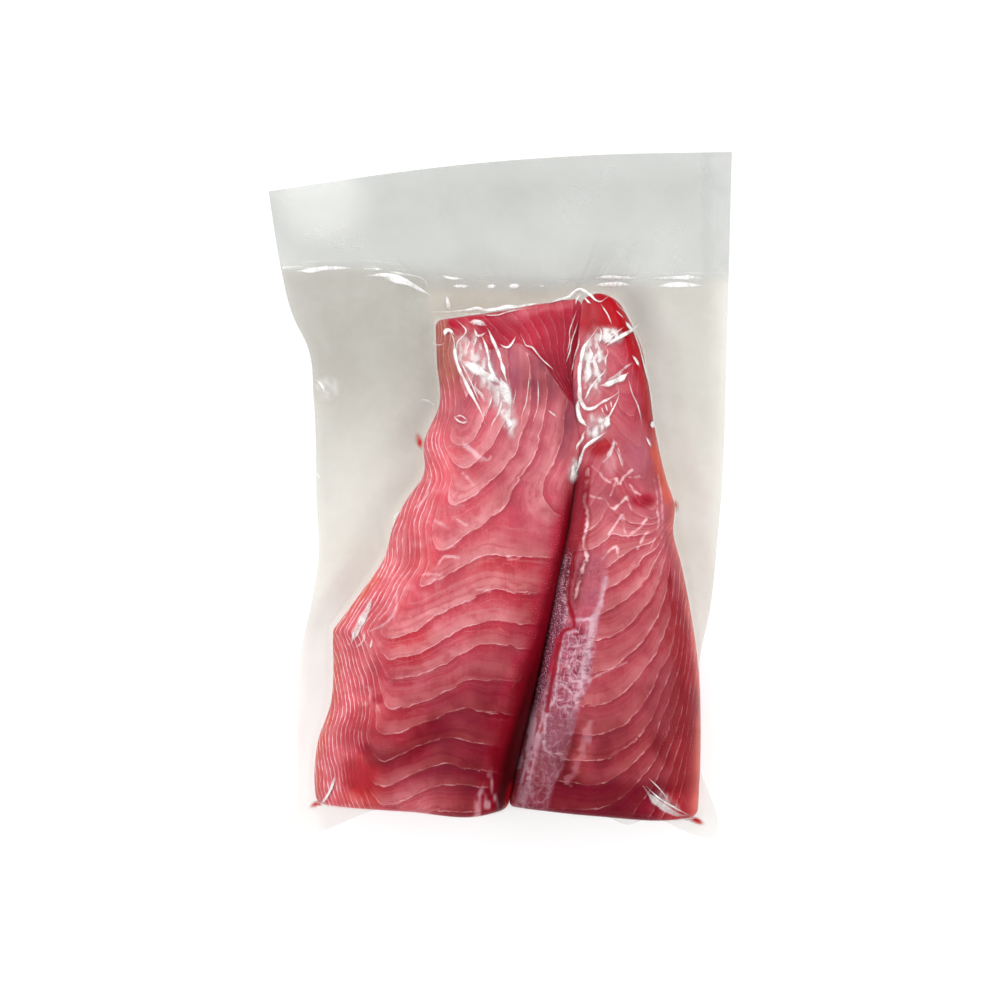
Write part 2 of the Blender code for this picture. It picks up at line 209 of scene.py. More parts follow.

# Broad darker, redder and lighter places of the flesh: x, y, half width, half length, how much of the red
# and of the rest
WIDE_SHADES = [
    (-56, -95, 15, 15, 0.83, 0.7), (-57, -119, 16, 16, 0.88, 0.45), (-38, -62, 14, 13, 1.03, 0.62),
    (-39, -100, 15, 24, 1, 0.66), (-22, -79, 13, 10, 0.98, 0.82), (-5, -61, 14, 11, 0.87, 0.8),
    (4, -30, 22, 16, 0.95, 0.65), (20, 52, 19, 17, 0.72, 0.69), (14, -116, 9, 24, 1.25, 0.85),
    (27, 26, 6, 14, 0.75, 0.85), (-32, -27, 10, 9, 1, 0.75), (12, -46, 9, 10, 0.92, 0.75),
    (-22, 36, 13, 17, 0.85, 0.98), (-15, -132, 36, 8, 1.18, 1),
]
NARROW_SHADES = [
    (30, -35, 7.5, 20, 0.7, 0.5), (30, -112, 10, 15, 0.76, 0.52), (60, -108, 20, 18, 0.85, 0.66),
    (64, 9, 7, 9, 0.8, 0.7), (84, -66, 9, 20, 1.25, 1), (17, -118, 5.5, 15, 1, 0.72),
    # This oval is a painted highlight: it lightens the foot corner of the narrow piece where the film
    # shines.
    (72, -131, 18, 9, 1.5, 1.35),
]

# Folds of the film as seen from above, each drawn with a painted white highlight along it: half width,
# height, whiteness of that highlight, then x and y of each point
FOLDS = [
    (0.62, 0.9, 0.98, -23.9, 70.6, -23, 72.3, -21.7, 71.4, -20.4, 68.8, -20, 64.4, -19.5, 60.9,
     -18.4, 56.9, -16.4, 52.5, -13.8, 47.2, -11.2, 42.4, -8.5, 37.1, -6.5, 31),
    (0.28, 0.4, 0.7, -19.3, 62.2, -17.3, 59.1, -15.6, 55.6, -12.9, 50.3, -10.7, 45, -8.5, 40.2),
    (0.75, 0.5, 0.85, -24.4, 70.1, -23.9, 72.3, -22.2, 72.8, -20, 70.6),
    (0.32, 0.4, 0.7, -20, 77.6, -17.3, 75.4, -15.1, 72.8, -16, 70.6, -18.6, 67.9, -19.1, 65.3,
     -18.6, 62.2),
    (1.7, 0.7, 0.9, -18.2, 60.4, -15.6, 58.7, -12, 56.9, -8.5, 54.7, -5, 53, -1.5, 50.8, 0.7, 49),
    (0.65, 0.5, 0.92, -9.8, 70.6, -8.1, 69.7, -6.3, 65.3, -5.4, 60.9, -4.6, 56.5, -2.4, 52.5, -0.2, 49.9),
    (0.7, 0.6, 0.95, -6.8, 74.1, -5.4, 72.8, -3.7, 68.8, -1, 62.6, 0.7, 56.9, 2, 52.1, 2.9, 48.6),
    (2.2, 0.8, 0.95, -0.2, 52.1, 1.6, 46.8, 3.4, 42, 4, 38.9),
    (1.1, 0.6, 0.75, 4, 40.2, 3.4, 37.1, 2.9, 34.5, 3.8, 32.3, 2.5, 30.1),
    (1.5, 0.5, 0.85, -13.8, 76, -11.2, 76.3, -8.5, 75.8, -6.3, 74.7),
    (0.5, 0.4, 0.6, -11.6, 73.6, -10.3, 70.6, -8.5, 70.6, -5.9, 72.3),
    (0.35, 0.3, 0.55, -12, 65.7, -10.9, 68.4, -10.7, 70.1),
    (0.35, 0.3, 0.55, -15.6, 63.5, -13.8, 67, -14.2, 69.2),
    (0.4, 0.4, 0.7, 0.3, 43.7, -0.2, 39.8, -1.5, 36.2, -3.7, 32.7, -4.1, 30.1),
    (0.3, 0.3, 0.6, -3.5, 46.4, -4.6, 41.5, -6.3, 37.1, -6.8, 34),
    (0.7, 0.3, 0.4, -10.3, 51.2, -11.2, 48.1, -8.5, 45, -6.8, 41.5),
    (0.4, 0.4, 0.8, -1, 67.3, 0.7, 65.9, 2.9, 65.4, 4.7, 67, 6.4, 70.1),
    (0.35, 0.2, 0.55, 8.4, 71.4, 9.9, 67.9, 10.8, 66.2, 13.5, 65.3, 15.7, 62.6, 17.9, 60, 21.8, 56.5,
     23.1, 54.7),
    (0.8, 0.7, 0.9, -23.4, 88.1, -22.9, 85.1, -22.4, 82.4, -21.3, 81.1),
    (0.65, 0.6, 0.92, -29.2, 80.7, -22.6, 80.6, -17.3, 81.1, -13.8, 81.5, -10.3, 82.2, -6.8, 81.5,
     -2.4, 81.8, 2.5, 82.9, 7.3, 82.9, 11.7, 83.7, 17, 84.2, 21.8, 85.1, 25.3, 85.9),
    (0.28, 0.2, 0.55, -23, 79.7, -17.3, 79.9, -12, 79.7, -8.5, 79.9, -5.9, 79.3, -1.5, 79.3, 2.9, 80.7,
     9.1, 81.9, 15.7, 82.4),
    (0.45, 0.3, 0.55, -20.4, 35.8, -18.6, 33.8, -16.4, 32.9, -14, 33.6),
    (0.35, 0.3, 0.5, -20, 35.4, -17.3, 35.9, -14.5, 34),
    (0.7, 0.5, 0.75, -34.9, 42.8, -31, 42.1, -28.3, 39.5),
    (0.3, 0.3, 0.55, -29.7, 68.8, -28.8, 66.9, -26.1, 66.4, -24.1, 67.3),
    (0.25, 0.2, 0.4, 6.4, 48.1, 6, 44.2, 4.7, 40.2),
    (0.22, 0.2, 0.45, 12.6, 56.5, 11.7, 48.1, 10.8, 41.5, 9.1, 36.2, 8.6, 30.1),
    (0.22, 0.2, 0.45, 15.7, 53, 16.1, 45.9, 15.7, 39.3, 14.3, 34.9, 13, 30.1),
    (0.4, 0.3, 0.5, 20.1, 38.4, 21.8, 37.1, 24, 35.4),
    (0.5, 0.7, 0.9, 16.8, 84.4, 20.8, 84.6, 24.7, 85.9, 28.7, 87, 31.3, 89, 33.5, 90.3, 35.7, 89.9,
     38.4, 88.1, 40.6, 85.9, 42.8, 85.1, 45, 86.4, 46.7, 87.7),
    (0.26, 0.3, 0.6, 34.4, 88.6, 32.6, 85.9, 32.2, 83.3),
    (0.36, 0.3, 0.7, 35.7, 87.3, 37.5, 85.1, 38.8, 84.2),
    (0.26, 0.3, 0.6, 42.8, 84.6, 44.1, 82.4, 45.8, 79.8, 47.2, 76.7, 48, 74.7),
    (0.32, 0.4, 0.72, 47.2, 88.6, 49.4, 85.9, 50.2, 83.7, 52.9, 81.1, 55.1, 78.5, 56.4, 75.8,
     57.3, 72.3, 58.6, 68.8, 59.9, 64.8, 61.2, 60, 62.5, 54.7, 63.9, 49, 64.7, 43.3, 65.6, 37.1,
     65.4, 31.9),
    (0.3, 0.3, 0.6, 49.4, 81.5, 51.6, 79.3, 53.3, 77.6),
    (0.8, 0.8, 0.95, 59.7, 75.4, 56.4, 72.8, 53.3, 71, 49.4, 68.8, 45, 65.7),
    (0.75, 0.8, 0.92, 53.5, 76.7, 55.5, 74.1, 57.5, 71.9),
    (0.36, 0.5, 0.8, 52.9, 74.1, 49.4, 71.4, 46.7, 68.8, 43.9, 66.4),
    (0.8, 0.9, 0.98, 42.1, 74.3, 39.7, 71, 37.5, 67.9, 35.7, 65.3, 34.8, 61.3, 34, 56.9, 33.7, 52.5,
     33.9, 48.1, 34, 43.7, 35.3, 40.6, 37, 38.9, 40.1, 39.3, 43.2, 41.5, 46.7, 43.3, 49.4, 45,
     50.8, 46.4, 49.8, 47.7),
    (0.4, 0.4, 0.7, 42.1, 74.1, 43.2, 71.9, 42.8, 68.8, 41.9, 67),
    (1.1, 0.5, 0.9, 37.9, 66.2, 38.8, 62.2, 37.5, 57.8, 37.9, 53, 36.2, 49.9),
    (0.75, 0.5, 0.78, 41.4, 67.9, 42.3, 63.5, 40.1, 60, 41.4, 55.2, 39.7, 52.1),
    (0.36, 0.5, 0.8, 45.4, 56.5, 44.1, 54.3, 41.9, 52.1, 40.1, 49.9, 38.4, 47.7, 36.6, 43.7, 35.3, 42),
    (0.3, 0.3, 0.6, 45, 65.7, 46.1, 63.1, 45, 60.4, 45.4, 56.9),
    (1.1, 0.7, 0.92, 42.8, 48.9, 45.8, 49.4, 48.9, 50.8, 52, 52.1, 54.9, 54.5),
    (0.7, 0.4, 0.42, 45, 50.8, 50.2, 53.4, 53.3, 56.5, 57.3, 59.1),
    (0.3, 0.3, 0.7, 50.8, 46.4, 50.7, 44.2, 49.4, 41.1, 47.6, 37.6, 46.3, 34.9, 45.8, 31),
    (0.26, 0.2, 0.5, 43.2, 39.8, 44.2, 36.9),
    (0.26, 0.2, 0.5, 45, 41.1, 45.9, 37.6),
    (0.26, 0.2, 0.5, 47.2, 42.6, 47.7, 39.3),
    (0.9, 0.5, 0.85, 33.5, 43.7, 33.1, 39.3, 34, 34.9, 35.7, 32.7, 37.5, 31),
    (1.2, 0.5, 0.85, 46.2, 36.2, 45.6, 33.6, 45.4, 30.5),
    (0.32, 0.3, 0.6, 33.1, 82.4, 31.3, 77.6, 29.6, 72.3, 29.6, 67.9, 28.2, 62.2),
    (0.32, 0.3, 0.65, 33.3, 77.1, 32.2, 73.2, 30.4, 67.9, 29.6, 63.5, 27.8, 58.2),
    (0.3, 0.3, 0.5, 33.7, 71.4, 33.5, 67, 31.8, 61.8, 30.9, 56.9, 30, 53.4),
    (0.6, 0.5, 0.85, 56.6, 61.8, 58.1, 60, 59.6, 57.1),
    (0.26, 0.2, 0.5, 54.6, 53.8, 55.5, 49.4, 56.8, 45, 59, 40.2, 60.3, 34.9, 60.8, 30.5),
    (0.9, 0.6, 0.88, 65.7, 34, 65.3, 30.5),
    (0.6, 0.5, 0.92, 45.4, 29, 42.5, 26.9, 39.7, 25.1, 36.8, 22.9, 35.8, 21.5, 34.7, 18.7, 33.6, 14.7,
     32.5, 11.9, 31.5, 8.7),
    (0.9, 0.5, 0.8, 31.1, 15.4, 31.2, 11.9, 30.7, 8.7),
    (0.55, 0.5, 0.7, 36.1, 29.4, 35.4, 27.6, 35, 25.8, 32.9, 22.9, 32.5, 20.8),
    (0.95, 0.2, 0.42, 48.6, 26.5, 48.5, 23.3, 47.2, 20.4, 45.4, 17.6),
    (0.3, 0.2, 0.5, 48.6, 22.9, 50.4, 19.7, 51.8, 15.4, 52.5, 12.9),
    (0.45, 0.3, 0.7, 62.4, 26.9, 63.8, 24.4, 64.9, 22.1),
    (0.8, 0.5, 0.95, -88.7, 98.2, -81.3, 98.6, -75, 99.5, -64.3, 99.5),
    (0.5, 0.4, 0.6, -60.5, 99.4, -50.4, 98.9),
    (0.8, 0.5, 0.9, -59.2, 96, -51, 96.6, -44.7, 95.6, -39.6, 93.5, -34.6, 90.4, -28.9, 86.7),
    (1.15, 0.6, 0.8, -50.4, 95.4, -40.9, 93.2, -32, 88.5),
    (0.45, 0.3, 0.45, -51, 98.4, -42.2, 97, -34.6, 95.4, -31.4, 91.7, -29.5, 87.6),
    (0.5, 0.4, 0.82, -26, 96.5, -21.9, 95.2, -16.2, 94.9),
    (0.9, 0.4, 0.95, -20.9, 91.8, -13.7, 91.7),
    (0.85, 0.4, 0.9, -6.4, 91.4, -2.1, 91.8),
    (0.85, 0.4, 0.9, 3.1, 91.7, 8.2, 91.9),
    (0.5, 0.3, 0.4, 15.8, 91.7, 19.5, 91.8),
    (0.7, 0.4, 0.95, 40, 95.2, 46.4, 95.6, 58.7, 95.2),
    (0.9, 0.4, 0.95, 39.5, 92, 45.1, 92.5, 51.4, 92.7, 56.2, 92),
    (0.8, 0.4, 0.95, 65.1, 95.2, 74.2, 95.4, 86.3, 95.6),
    (0.95, 0.4, 0.95, 67.2, 91.8, 76.7, 92.4, 87.4, 91.9),
    (1.3, 1.2, 0.45, 61.2, -123.6, 64.6, -128.2, 69.2, -132.2, 75, -135.7, 80.8, -138, 87.7, -140.7),
    (0.32, 0.4, 0.75, 62.3, -123.6, 68.1, -128.9, 75, -133.1, 83.1, -137.4),
    (0.32, 0.3, 0.6, 63.5, -120.1, 69.2, -125.9, 72.7, -131.1),
    (0.5, 0.5, 0.6, -71.4, -118.4, -72.8, -123.6, -75.1, -128.2, -78.5, -132.8),
    (0.32, 0.3, 0.7, -76.2, -129.9, -73.7, -125.9, -71.2, -120.1),
    (1.5, 0.2, 0.62, -55.2, -41.6, -58.3, -49.1, -62.2, -56.6, -64.7, -62.4),
    (0.45, 0.2, 0.7, -55.5, -60.1, -56.4, -64.5),
    (0.6, 0.2, 0.45, -58.9, -56.6, -59.5, -61.2, -63.5, -64.7),
    (0.6, 0.4, 0.7, -49.7, 94.4, -40.4, 92.7, -33.5, 89.8, -30.1, 87.5),
    (0.6, 0.4, 0.78, -79.7, 51.7, -76.8, 48.2, -76.2, 44.7),
    (0.5, 0.3, 0.55, -79.7, 11.8, -78, 8.4),
    (0.5, 0.3, 0.75, -46.8, -8.9, -45.6, -7.2, -43, -5.1),
    (0.3, 0.2, 0.55, -46.2, -11.8, -46, -8.9, -43.7, -7.2),
]

# Pockets where the film stands off the fish, hazy and with painted glare on them: x, y, half sizes, turn,
# lift, whiteness (milky haze and painted glare)
POCKETS = [
    (-12, 60, 9.5, 18, 0.35, 0.8, 0.5), (2.6, 39, 4.5, 16, 0.2, 0.5, 0.9),
    (39.5, 57, 6.5, 19, -0.05, 0.8, 0.7), (46.5, 70, 7, 5, -0.3, 0.5, 0.7),
    (40.5, 31, 6, 8, -0.1, 0.4, 0.75), (31, 12.5, 3, 7, -0.2, 0.2, 0.65),
    (-3.5, 48, 6, 14, 0.35, 0.3, 0.4), (71, -128.5, 8.5, 3, -0.75, 0, 0.3),
    (-75.5, 47.5, 8.5, 7, 0.3, 0, 0.5),
]

# Blood and juice between the film and the table: x, y, half sizes, turn, strength
JUICE = [
    (-35.4, 25.2, 1.6, 4.2, 0.2, 0.75), (75.6, -3, 1.8, 3, 0.3, 0.75),
    (-79.5, -131.8, 5.2, 1.5, 0.5, 0.7), (83.6, -138.9, 6.4, 1.7, -0.42, 0.85),
]


def shade(red, green, blue):
    """The linear colour for one given in screen values, 0 to 255."""
    return tuple(((c / 255 + 0.055) / 1.055) ** 2.4 for c in (red, green, blue))


def hermite(points):
    """A smooth function through given (position, value) pairs, with central slopes."""
    at, value = np.array(points, float).T
    slope = np.gradient(value, at)

    def curve(q):
        q = np.clip(q, at[0], at[-1])
        i = np.clip(np.searchsorted(at, q) - 1, 0, len(at) - 2)
        span = at[i + 1] - at[i]
        f = (q - at[i]) / span
        start = value[i] * (1 + 2 * f) * (1 - f) ** 2 + slope[i] * span * f * (1 - f) ** 2
        return start + value[i + 1] * f * f * (3 - 2 * f) - slope[i + 1] * span * f * f * (1 - f)

    return curve


def mix(a, b, share):
    return a + (b - a) * share


def ease(low, high, value):
    """0 below low, 1 above high, and smooth between them."""
    f = np.clip((value - low) / (high - low), 0.0, 1.0)
    return f * f * (3 - 2 * f)


def dome(share, power):
    """A quarter of a superellipse: 0 at the edge and upright there, and 1 from share 1 on."""
    return (1 - (1 - np.clip(share, 0.0, 1.0)) ** power) ** (1 / power)


def over(value, soft=0.6):
    """The part of a distance above 0, with a soft start."""
    return (np.hypot(value, soft) + value) / 2


def lumps(x, y, size, seed):
    """Smooth random lumps about that many millimetres across, from -1 to 1."""
    lattice = np.random.default_rng(seed).uniform(-1.0, 1.0, (97, 97))
    u, v = x / size + 1000, y / size + 1000
    i, j = np.floor(u).astype(int), np.floor(v).astype(int)
    f, g = u - i, v - j
    f, g = f * f * (3 - 2 * f), g * g * (3 - 2 * g)
    near = mix(lattice[i % 97, j % 97], lattice[(i + 1) % 97, j % 97], f)
    far = mix(lattice[i % 97, (j + 1) % 97], lattice[(i + 1) % 97, (j + 1) % 97], f)
    return mix(near, far, g)


def flowing(points, steps=6):
    """More points on a smooth path through given ones."""
    points = np.array(points, float).reshape(-1, 2)
    at = np.arange(len(points), dtype=float)
    fine = np.linspace(0, len(points) - 1, (len(points) - 1) * steps + 1)
    return np.stack([hermite(list(zip(at, points[:, k])))(fine) for k in (0, 1)], axis=1)


def near_path(x, y, points):
    """Distance of each point from a path, and the share along the path where it is nearest."""
    path = flowing(points)
    best = np.full(np.shape(x), 1e9)
    along = np.zeros(np.shape(x))
    for n, (a, b) in enumerate(zip(path, path[1:])):
        run = b - a
        t = np.clip(((x - a[0]) * run[0] + (y - a[1]) * run[1]) / (run @ run), 0, 1)
        distance = np.hypot(x - a[0] - t * run[0], y - a[1] - t * run[1])
        closer = distance < best
        best = np.where(closer, distance, best)
        along = np.where(closer, (n + t) / (len(path) - 1), along)
    return best, along


def blob(x, y, centre_x, centre_y, half_x, half_y, turn=0.0):
    """0 outside an oval and 1 in its middle."""
    dx, dy = x - centre_x, y - centre_y
    across = dx * math.cos(turn) + dy * math.sin(turn)
    along = dy * math.cos(turn) - dx * math.sin(turn)
    return ease(1.0, 0.35, np.hypot(across / half_x, along / half_y))


pouch_left, pouch_right = hermite(POUCH_LEFT), hermite(POUCH_RIGHT)
pouch_foot, pouch_top = hermite(POUCH_FOOT), hermite(POUCH_TOP)
seal_line = hermite(SEAL_LINE)
wide_left, narrow_right = hermite(WIDE_LEFT), hermite(NARROW_RIGHT)
wide_foot, wide_head = hermite(WIDE_FOOT), hermite(WIDE_HEAD)
narrow_foot, narrow_head = hermite(NARROW_FOOT), hermite(NARROW_HEAD)
both_foot, both_head = hermite(BOTH_FOOT), hermite(BOTH_HEAD)
parting = hermite(PARTING)
wide_lip = hermite(WIDE_LIP)
tissue_edge = hermite(TISSUE_EDGE)


def wide_right(y):
    return parting(y) - PARTING_GAP / 2


def narrow_left(y):
    return parting(y) + PARTING_GAP / 2


wide_number, narrow_number = hermite(WIDE_FLAKES), hermite(NARROW_FLAKES)
wide_crest_x, wide_fall, wide_flank = hermite(WIDE_CREST_X), hermite(WIDE_FALL), hermite(WIDE_FLANK)


def wide_flake(x, y):
    """Number of the flake line at a point of the wide piece, rising from the foot to the head."""
    x = x + 0.9 * lumps(x, y, 9, 11)
    y = y + 1.6 * lumps(x, y, 26, 12) + 0.8 * lumps(x, y, 7, 13)
    left = over(wide_crest_x(y) - x)
    right = over(x - wide_crest_x(y))
    low = y + wide_fall(y) * (np.hypot(left, 6.0) - 6.0) + 0.14 * right
    high = 45 - np.hypot((x + 25) * 1.27, np.minimum(y - 45, 0))
    flank = over(wide_left(y) + wide_flank(y) - 0.5 - x, 3.5)
    number = wide_number(mix(low, high, ease(-22, 6, y)) - 6.5 * flank)
    fan = np.arctan2(y - 40, x - 30) * 9
    return np.where((y > wide_lip(x)) & (x > wide_left(y) + 5), fan, number)


def narrow_bend(y):
    """Where the flake lines of the narrow piece turn down its outer flank."""
    return np.minimum(67.5, narrow_right(y) - 9)


def narrow_flake(x, y):
    """Number of the flake line at a point of the narrow piece."""
    rough = ease(-25, 5, y)
    x = x + 0.5 * lumps(x, y, 8, 21)
    y = y + 1.3 * lumps(x, y, 20, 22) + mix(0.4, 2.4, rough) * lumps(x, y, 6, 23)
    bend = narrow_bend(y)
    climb = np.clip(x - 38, 0, np.maximum(bend - 38, 0)) ** 2 / 38
    spike = 1.5 * (np.hypot(x - 46 + 0.08 * y, 1.2) - 6)
    low = y - mix(climb, -spike, ease(-30, 0, y))
    return narrow_number(low - 2.8 * over(x - bend, 3.0) - 2.8 * over(x - narrow_right(y) + 9, 2.0))


class LoinShape:
    """One piece of loin: its outline, its section and the lines between its flakes."""

    def __init__(self, left, right, foot, head, crest, flake, left_edge, right_edge, joined):
        self.left, self.right, self.foot, self.head = left, right, foot, head
        self.crest, self.flake = hermite(crest), flake
        self.left_edge, self.right_edge, self.joined = left_edge, right_edge, joined
        self.middle_x = mix(left(0.0), right(0.0), 0.5)
        self.length = head(self.middle_x) - foot(self.middle_x)

    def waist(self, y):
        return np.minimum(self.crest(y) * WAIST_SHARE, WAIST_MOST)

    def rise(self, x, y, grow=0.0):
        """0 at the waist and outside the piece, 1 on its crest."""
        share = (x - self.left(y) + grow) / (self.right(y) - self.left(y) + 2 * grow)
        left_share, left_power = self.left_edge
        right_share, right_power = self.right_edge
        rise = dome(share / left_share, left_power) * dome((1 - share) / right_share, right_power)
        start, full, foot, body = self.joined
        height = mix(mix(foot, body, ease(-110, -20, y)), 0.97, ease(2, 28, y))
        lean = ease(start, full, share) * height
        return rise + (1 - rise) * lean * (np.abs(share - 0.5) < 0.5 + 1e-6)

    def pitch(self, x, y):
        """Flake lines per millimetre."""
        here = self.flake(x, y)
        step = 0.25
        return np.hypot(self.flake(x + step, y) - here, self.flake(x, y + step) - here) / step

    def relief(self, x, y, flake_step):
        """Flakes whose foot-side edges stand proud, and soft unevenness."""
        pitch = np.clip(self.pitch(x, y), 0.03, 1.2)
        share = self.flake(x, y) % 1.0
        below = (1 - share) / pitch
        proud = np.maximum((1 - share) ** 1.4, ease(1.5, 0.0, below))
        fine = ease(0.12, 0.4, pitch)
        step = flake_step * mix(1.0, 0.12, fine) * (1 + 0.4 * lumps(x, y, 12, 31))
        step = step * ease(66, 52, y)
        return step * proud + 0.45 * lumps(x, y, 24, 32) + 0.16 * lumps(x, y, 6, 33)

    def top(self, x, y, flake_step, grow=0.0):
        """Height of the upper side."""
        rise = self.rise(x, y, grow)
        waist = self.waist(y)
        return mix(waist, self.crest(y) + grow, rise) + self.relief(x, y, flake_step) * np.sqrt(rise)


WIDE = LoinShape(wide_left, wide_right, wide_foot, wide_head, WIDE_CREST, wide_flake,
                 left_edge=(0.46, 1.9), right_edge=(0.2, 1.9), joined=(0.66, 0.9, 0.38, 0.7))
NARROW = LoinShape(narrow_left, narrow_right, narrow_foot, narrow_head, NARROW_CREST, narrow_flake,
                   left_edge=(0.36, 1.5), right_edge=(0.30, 2.1), joined=(0.45, 0.1, 0.45, 0.7))


def plan_points(sides, margin, turns, columns, crowd, inner, grow=0.0):
    """Points of a plan in rows, and how far each row is drawn in to round the ends.

    crowd says how much closer the points lie at the sides, turns how many rows each end has, and inner
    where the other rows are, as shares of the length.
    """
    left, right, foot, head = sides
    across = np.linspace(0, 1, columns)
    across = mix(across, 0.5 - 0.5 * np.cos(math.pi * across), crowd)
    turn = np.arange(turns) * math.pi / 2 / turns
    ends, drawn = 1 - np.cos(turn), 1 - np.sin(turn)
    along = np.concatenate([ends * margin, inner, 1 - ends[::-1] * margin])
    shrink = np.concatenate([drawn, np.zeros(len(inner)), drawn[::-1]])
    v, s = np.meshgrid(along, across, indexing="ij")
    x = mix(left(0.0), right(0.0), s)
    for _ in range(4):
        y = mix(foot(x) - grow, head(x) + grow, v)
        x = mix(left(y) - grow, right(y) + grow, s)
    return x, y, shrink[:, None]


def loin_points(loin, columns, rows, flake_step):
    """Rings round one piece from its foot to its head, closed round, with capped ends."""
    margin = END_ROUND / loin.length
    inner = np.linspace(margin, 1 - margin, rows)
    sides = loin.left, loin.right, loin.foot, loin.head
    x, y, pull = plan_points(sides, margin, 10, columns, 0.75, inner)
    bare = mix(loin.waist(y), loin.crest(y), loin.rise(x, y))
    top = bare + loin.relief(x, y, flake_step) * np.sqrt(loin.rise(x, y)) * (1 - pull)
    under = []
    for step in (0.12, 0.28, 0.45, 0.62, 0.8, 1.0):
        under.append((1.0, step))
    for share in (0.86, 0.7, 0.5, 0.3, 0.14):
        under.append((share, -1.0))
    for step in (1.0, 0.8, 0.62, 0.45, 0.28, 0.12):
        under.append((0.0, step))
    xs, ys, zs = [x], [y], [top]
    width = loin.right(y[:, :1]) - loin.left(y[:, :1])
    tuck = np.minimum(TUCK, TUCK_MOST * width)
    for share, step in under:
        side_y = y[:, -1:] if share > 0.5 else y[:, :1]
        if step < 0:
            side_y = mix(y[:, :1], y[:, -1:], share)
            side_x = mix(loin.left(side_y) + tuck, loin.right(side_y) - tuck, share)
            side_z = np.full(side_x.shape, LOIN_LOW)
        else:
            turn = step * math.pi / 2
            inward = tuck * (1 - math.cos(turn))
            side_x = loin.right(side_y) - inward if share > 0.5 else loin.left(side_y) + inward
            side_z = mix(loin.waist(side_y), LOIN_LOW, math.sin(turn))
        xs.append(side_x)
        ys.append(side_y)
        zs.append(side_z)
    x, y, z = np.hstack(xs), np.hstack(ys), np.hstack(zs)
    middle_y = mix(y[:, :1], y[:, columns - 1:columns], 0.5)
    middle_x = mix(loin.left(middle_y), loin.right(middle_y), 0.5)
    middle_z = END_LEVEL * loin.crest(middle_y)
    side = np.where(x > middle_x, loin.right(y), loin.left(y))
    half = np.maximum(np.abs(side - middle_x), 2 * END_ROUND)
    x = mix(middle_x, x, 1 - pull * END_ROUND / half)
    z = mix(middle_z, z, 1 - pull * np.minimum(END_ROUND / middle_z, END_MOST))
    rings = np.stack([x, y, z], axis=2)
    caps = []
    for end, face in ((0, rings[0]), (-1, rings[-1])):
        centre = np.array([middle_x[end, 0], face[:, 1].mean(), middle_z[end, 0]])
        shares = (np.arange(1, 17) / 16.5)
        ring = np.stack([mix(face, centre, share) for share in shares])
        caps.append(ring[::-1] if end == 0 else ring)
    rings = np.concatenate([caps[0], rings, caps[1]])
    return np.concatenate([rings, rings[:, :1]], axis=1)


def outside_loin(x, y):
    """How far a point of the plan lies outside the two pieces together, and below 0 inside them."""
    ends = np.maximum(wide_foot(x) - y, y - np.maximum(wide_head(x), narrow_head(x)))
    return np.maximum(np.maximum(wide_left(y) - x, x - narrow_right(y)), ends)


def sheet_height(x, y):
    """Height of the underside of the pouch over the table, as in the solid."""
    free = ease(FLANGE_START, FLANGE_REACH, outside_loin(x, y))
    header = ease(0.0, 1.0, (y - seal_line(x)) / (pouch_top(x) - seal_line(x)))
    corner = 1 - ease(POUCH_TOP[0][0], CURL_FROM_X, x)
    side = 1 - ease(0.0, SIDE_BAND, np.minimum(x - pouch_left(y), pouch_right(y) - x))
    turn = math.tau * y / SIDE_WAVE_LENGTH + np.where(x > 0, RIGHT_WAVE_TURN, LEFT_WAVE_TURN)
    edge = SIDE_WAVE * (1 + np.sin(turn)) / 2
    edge = edge + np.where(x < 0, SHOULDER_LIFT * np.exp(-(((y - SHOULDER_Y) / SHOULDER_LENGTH) ** 2)), 0)
    return free * (FLANGE_LIFT + edge * side) + header * (HEADER_RISE + CORNER_CURL * corner)


class Coat:
    """The colour at each point of a table, painted on in layers."""

    def __init__(self, x, y, colour):
        self.x, self.y = x, y
        self.tone = np.broadcast_to(np.array(colour), x.shape + (3,))

    def add(self, colour, mask):
        """Blends a colour in: not at all where the mask is 0, and wholly where it is 1."""
        self.tone = mix(self.tone, np.array(colour), mask[..., None])

    def spot(self, colour, strength, *oval):
        self.add(colour, blob(self.x, self.y, *oval) * strength)

    def scale(self, factor):
        self.tone = self.tone * factor[..., None]

    def shades(self, ovals):
        """Broad darker and redder places."""
        for centre_x, centre_y, half_x, half_y, red, rest in ovals:
            share = blob(self.x, self.y, centre_x, centre_y, half_x, half_y)[..., None]
            self.tone = self.tone * mix(1.0, np.array([red, rest, rest]), share)

    def strands(self, strands, colour, seed):
        """Fine strands with ragged edges."""
        rough, patchy = lumps(self.x, self.y, 1.4, seed), lumps(self.x, self.y, 2.2, seed + 1)
        for half, strength, *path in strands:
            distance, _ = near_path(self.x, self.y, path)
            part = ease(half + 0.3, 0.35 * half, distance + 0.4 * rough) * strength
            self.add(colour, part * np.clip(0.85 + 0.6 * patchy, 0, 1))


# How the film lies on the fish: its clearance, the ball that bridges the grooves, and the height map
# on which that ball rolls
FILM_GROW = 0.5
FILM_GAP = 0.15
BRIDGE_BALL = 2.5
MAP_STEP = 0.5
MAP_CORNERS = [(-94.0, -148.0), (98.0, 100.0)]
# How far out its wall reaches and where it ends, the gap between the plies, how far the upper one
# stands off at its foot, and its pleats
WALL_REACH = 2.2
WALL_FOOT = 2.5
PLY_GAP = 0.25
PLY_RISE = 0.7
PLEAT = 0.35
# The lower ply ends under the fish, where its outline is drawn in to this share about this point
BACK_MIDDLE = (0.0, -25.0)
BACK_SHARE = 0.88
# Height of the heat seal over the lower ply
SEAL_LEVEL = PLY_GAP + 0.68
# Counts of points, and the share of the length from which the rows lie closer
FILM_COLUMNS = 160
FILM_BODY_ROWS = 180
FILM_TAIL_ROWS = 112
TAIL_FROM = 0.75
WALL_RINGS = 9
FLANGE_RINGS = 26
BACK_RINGS = 26
SEAL_COLUMNS = 420


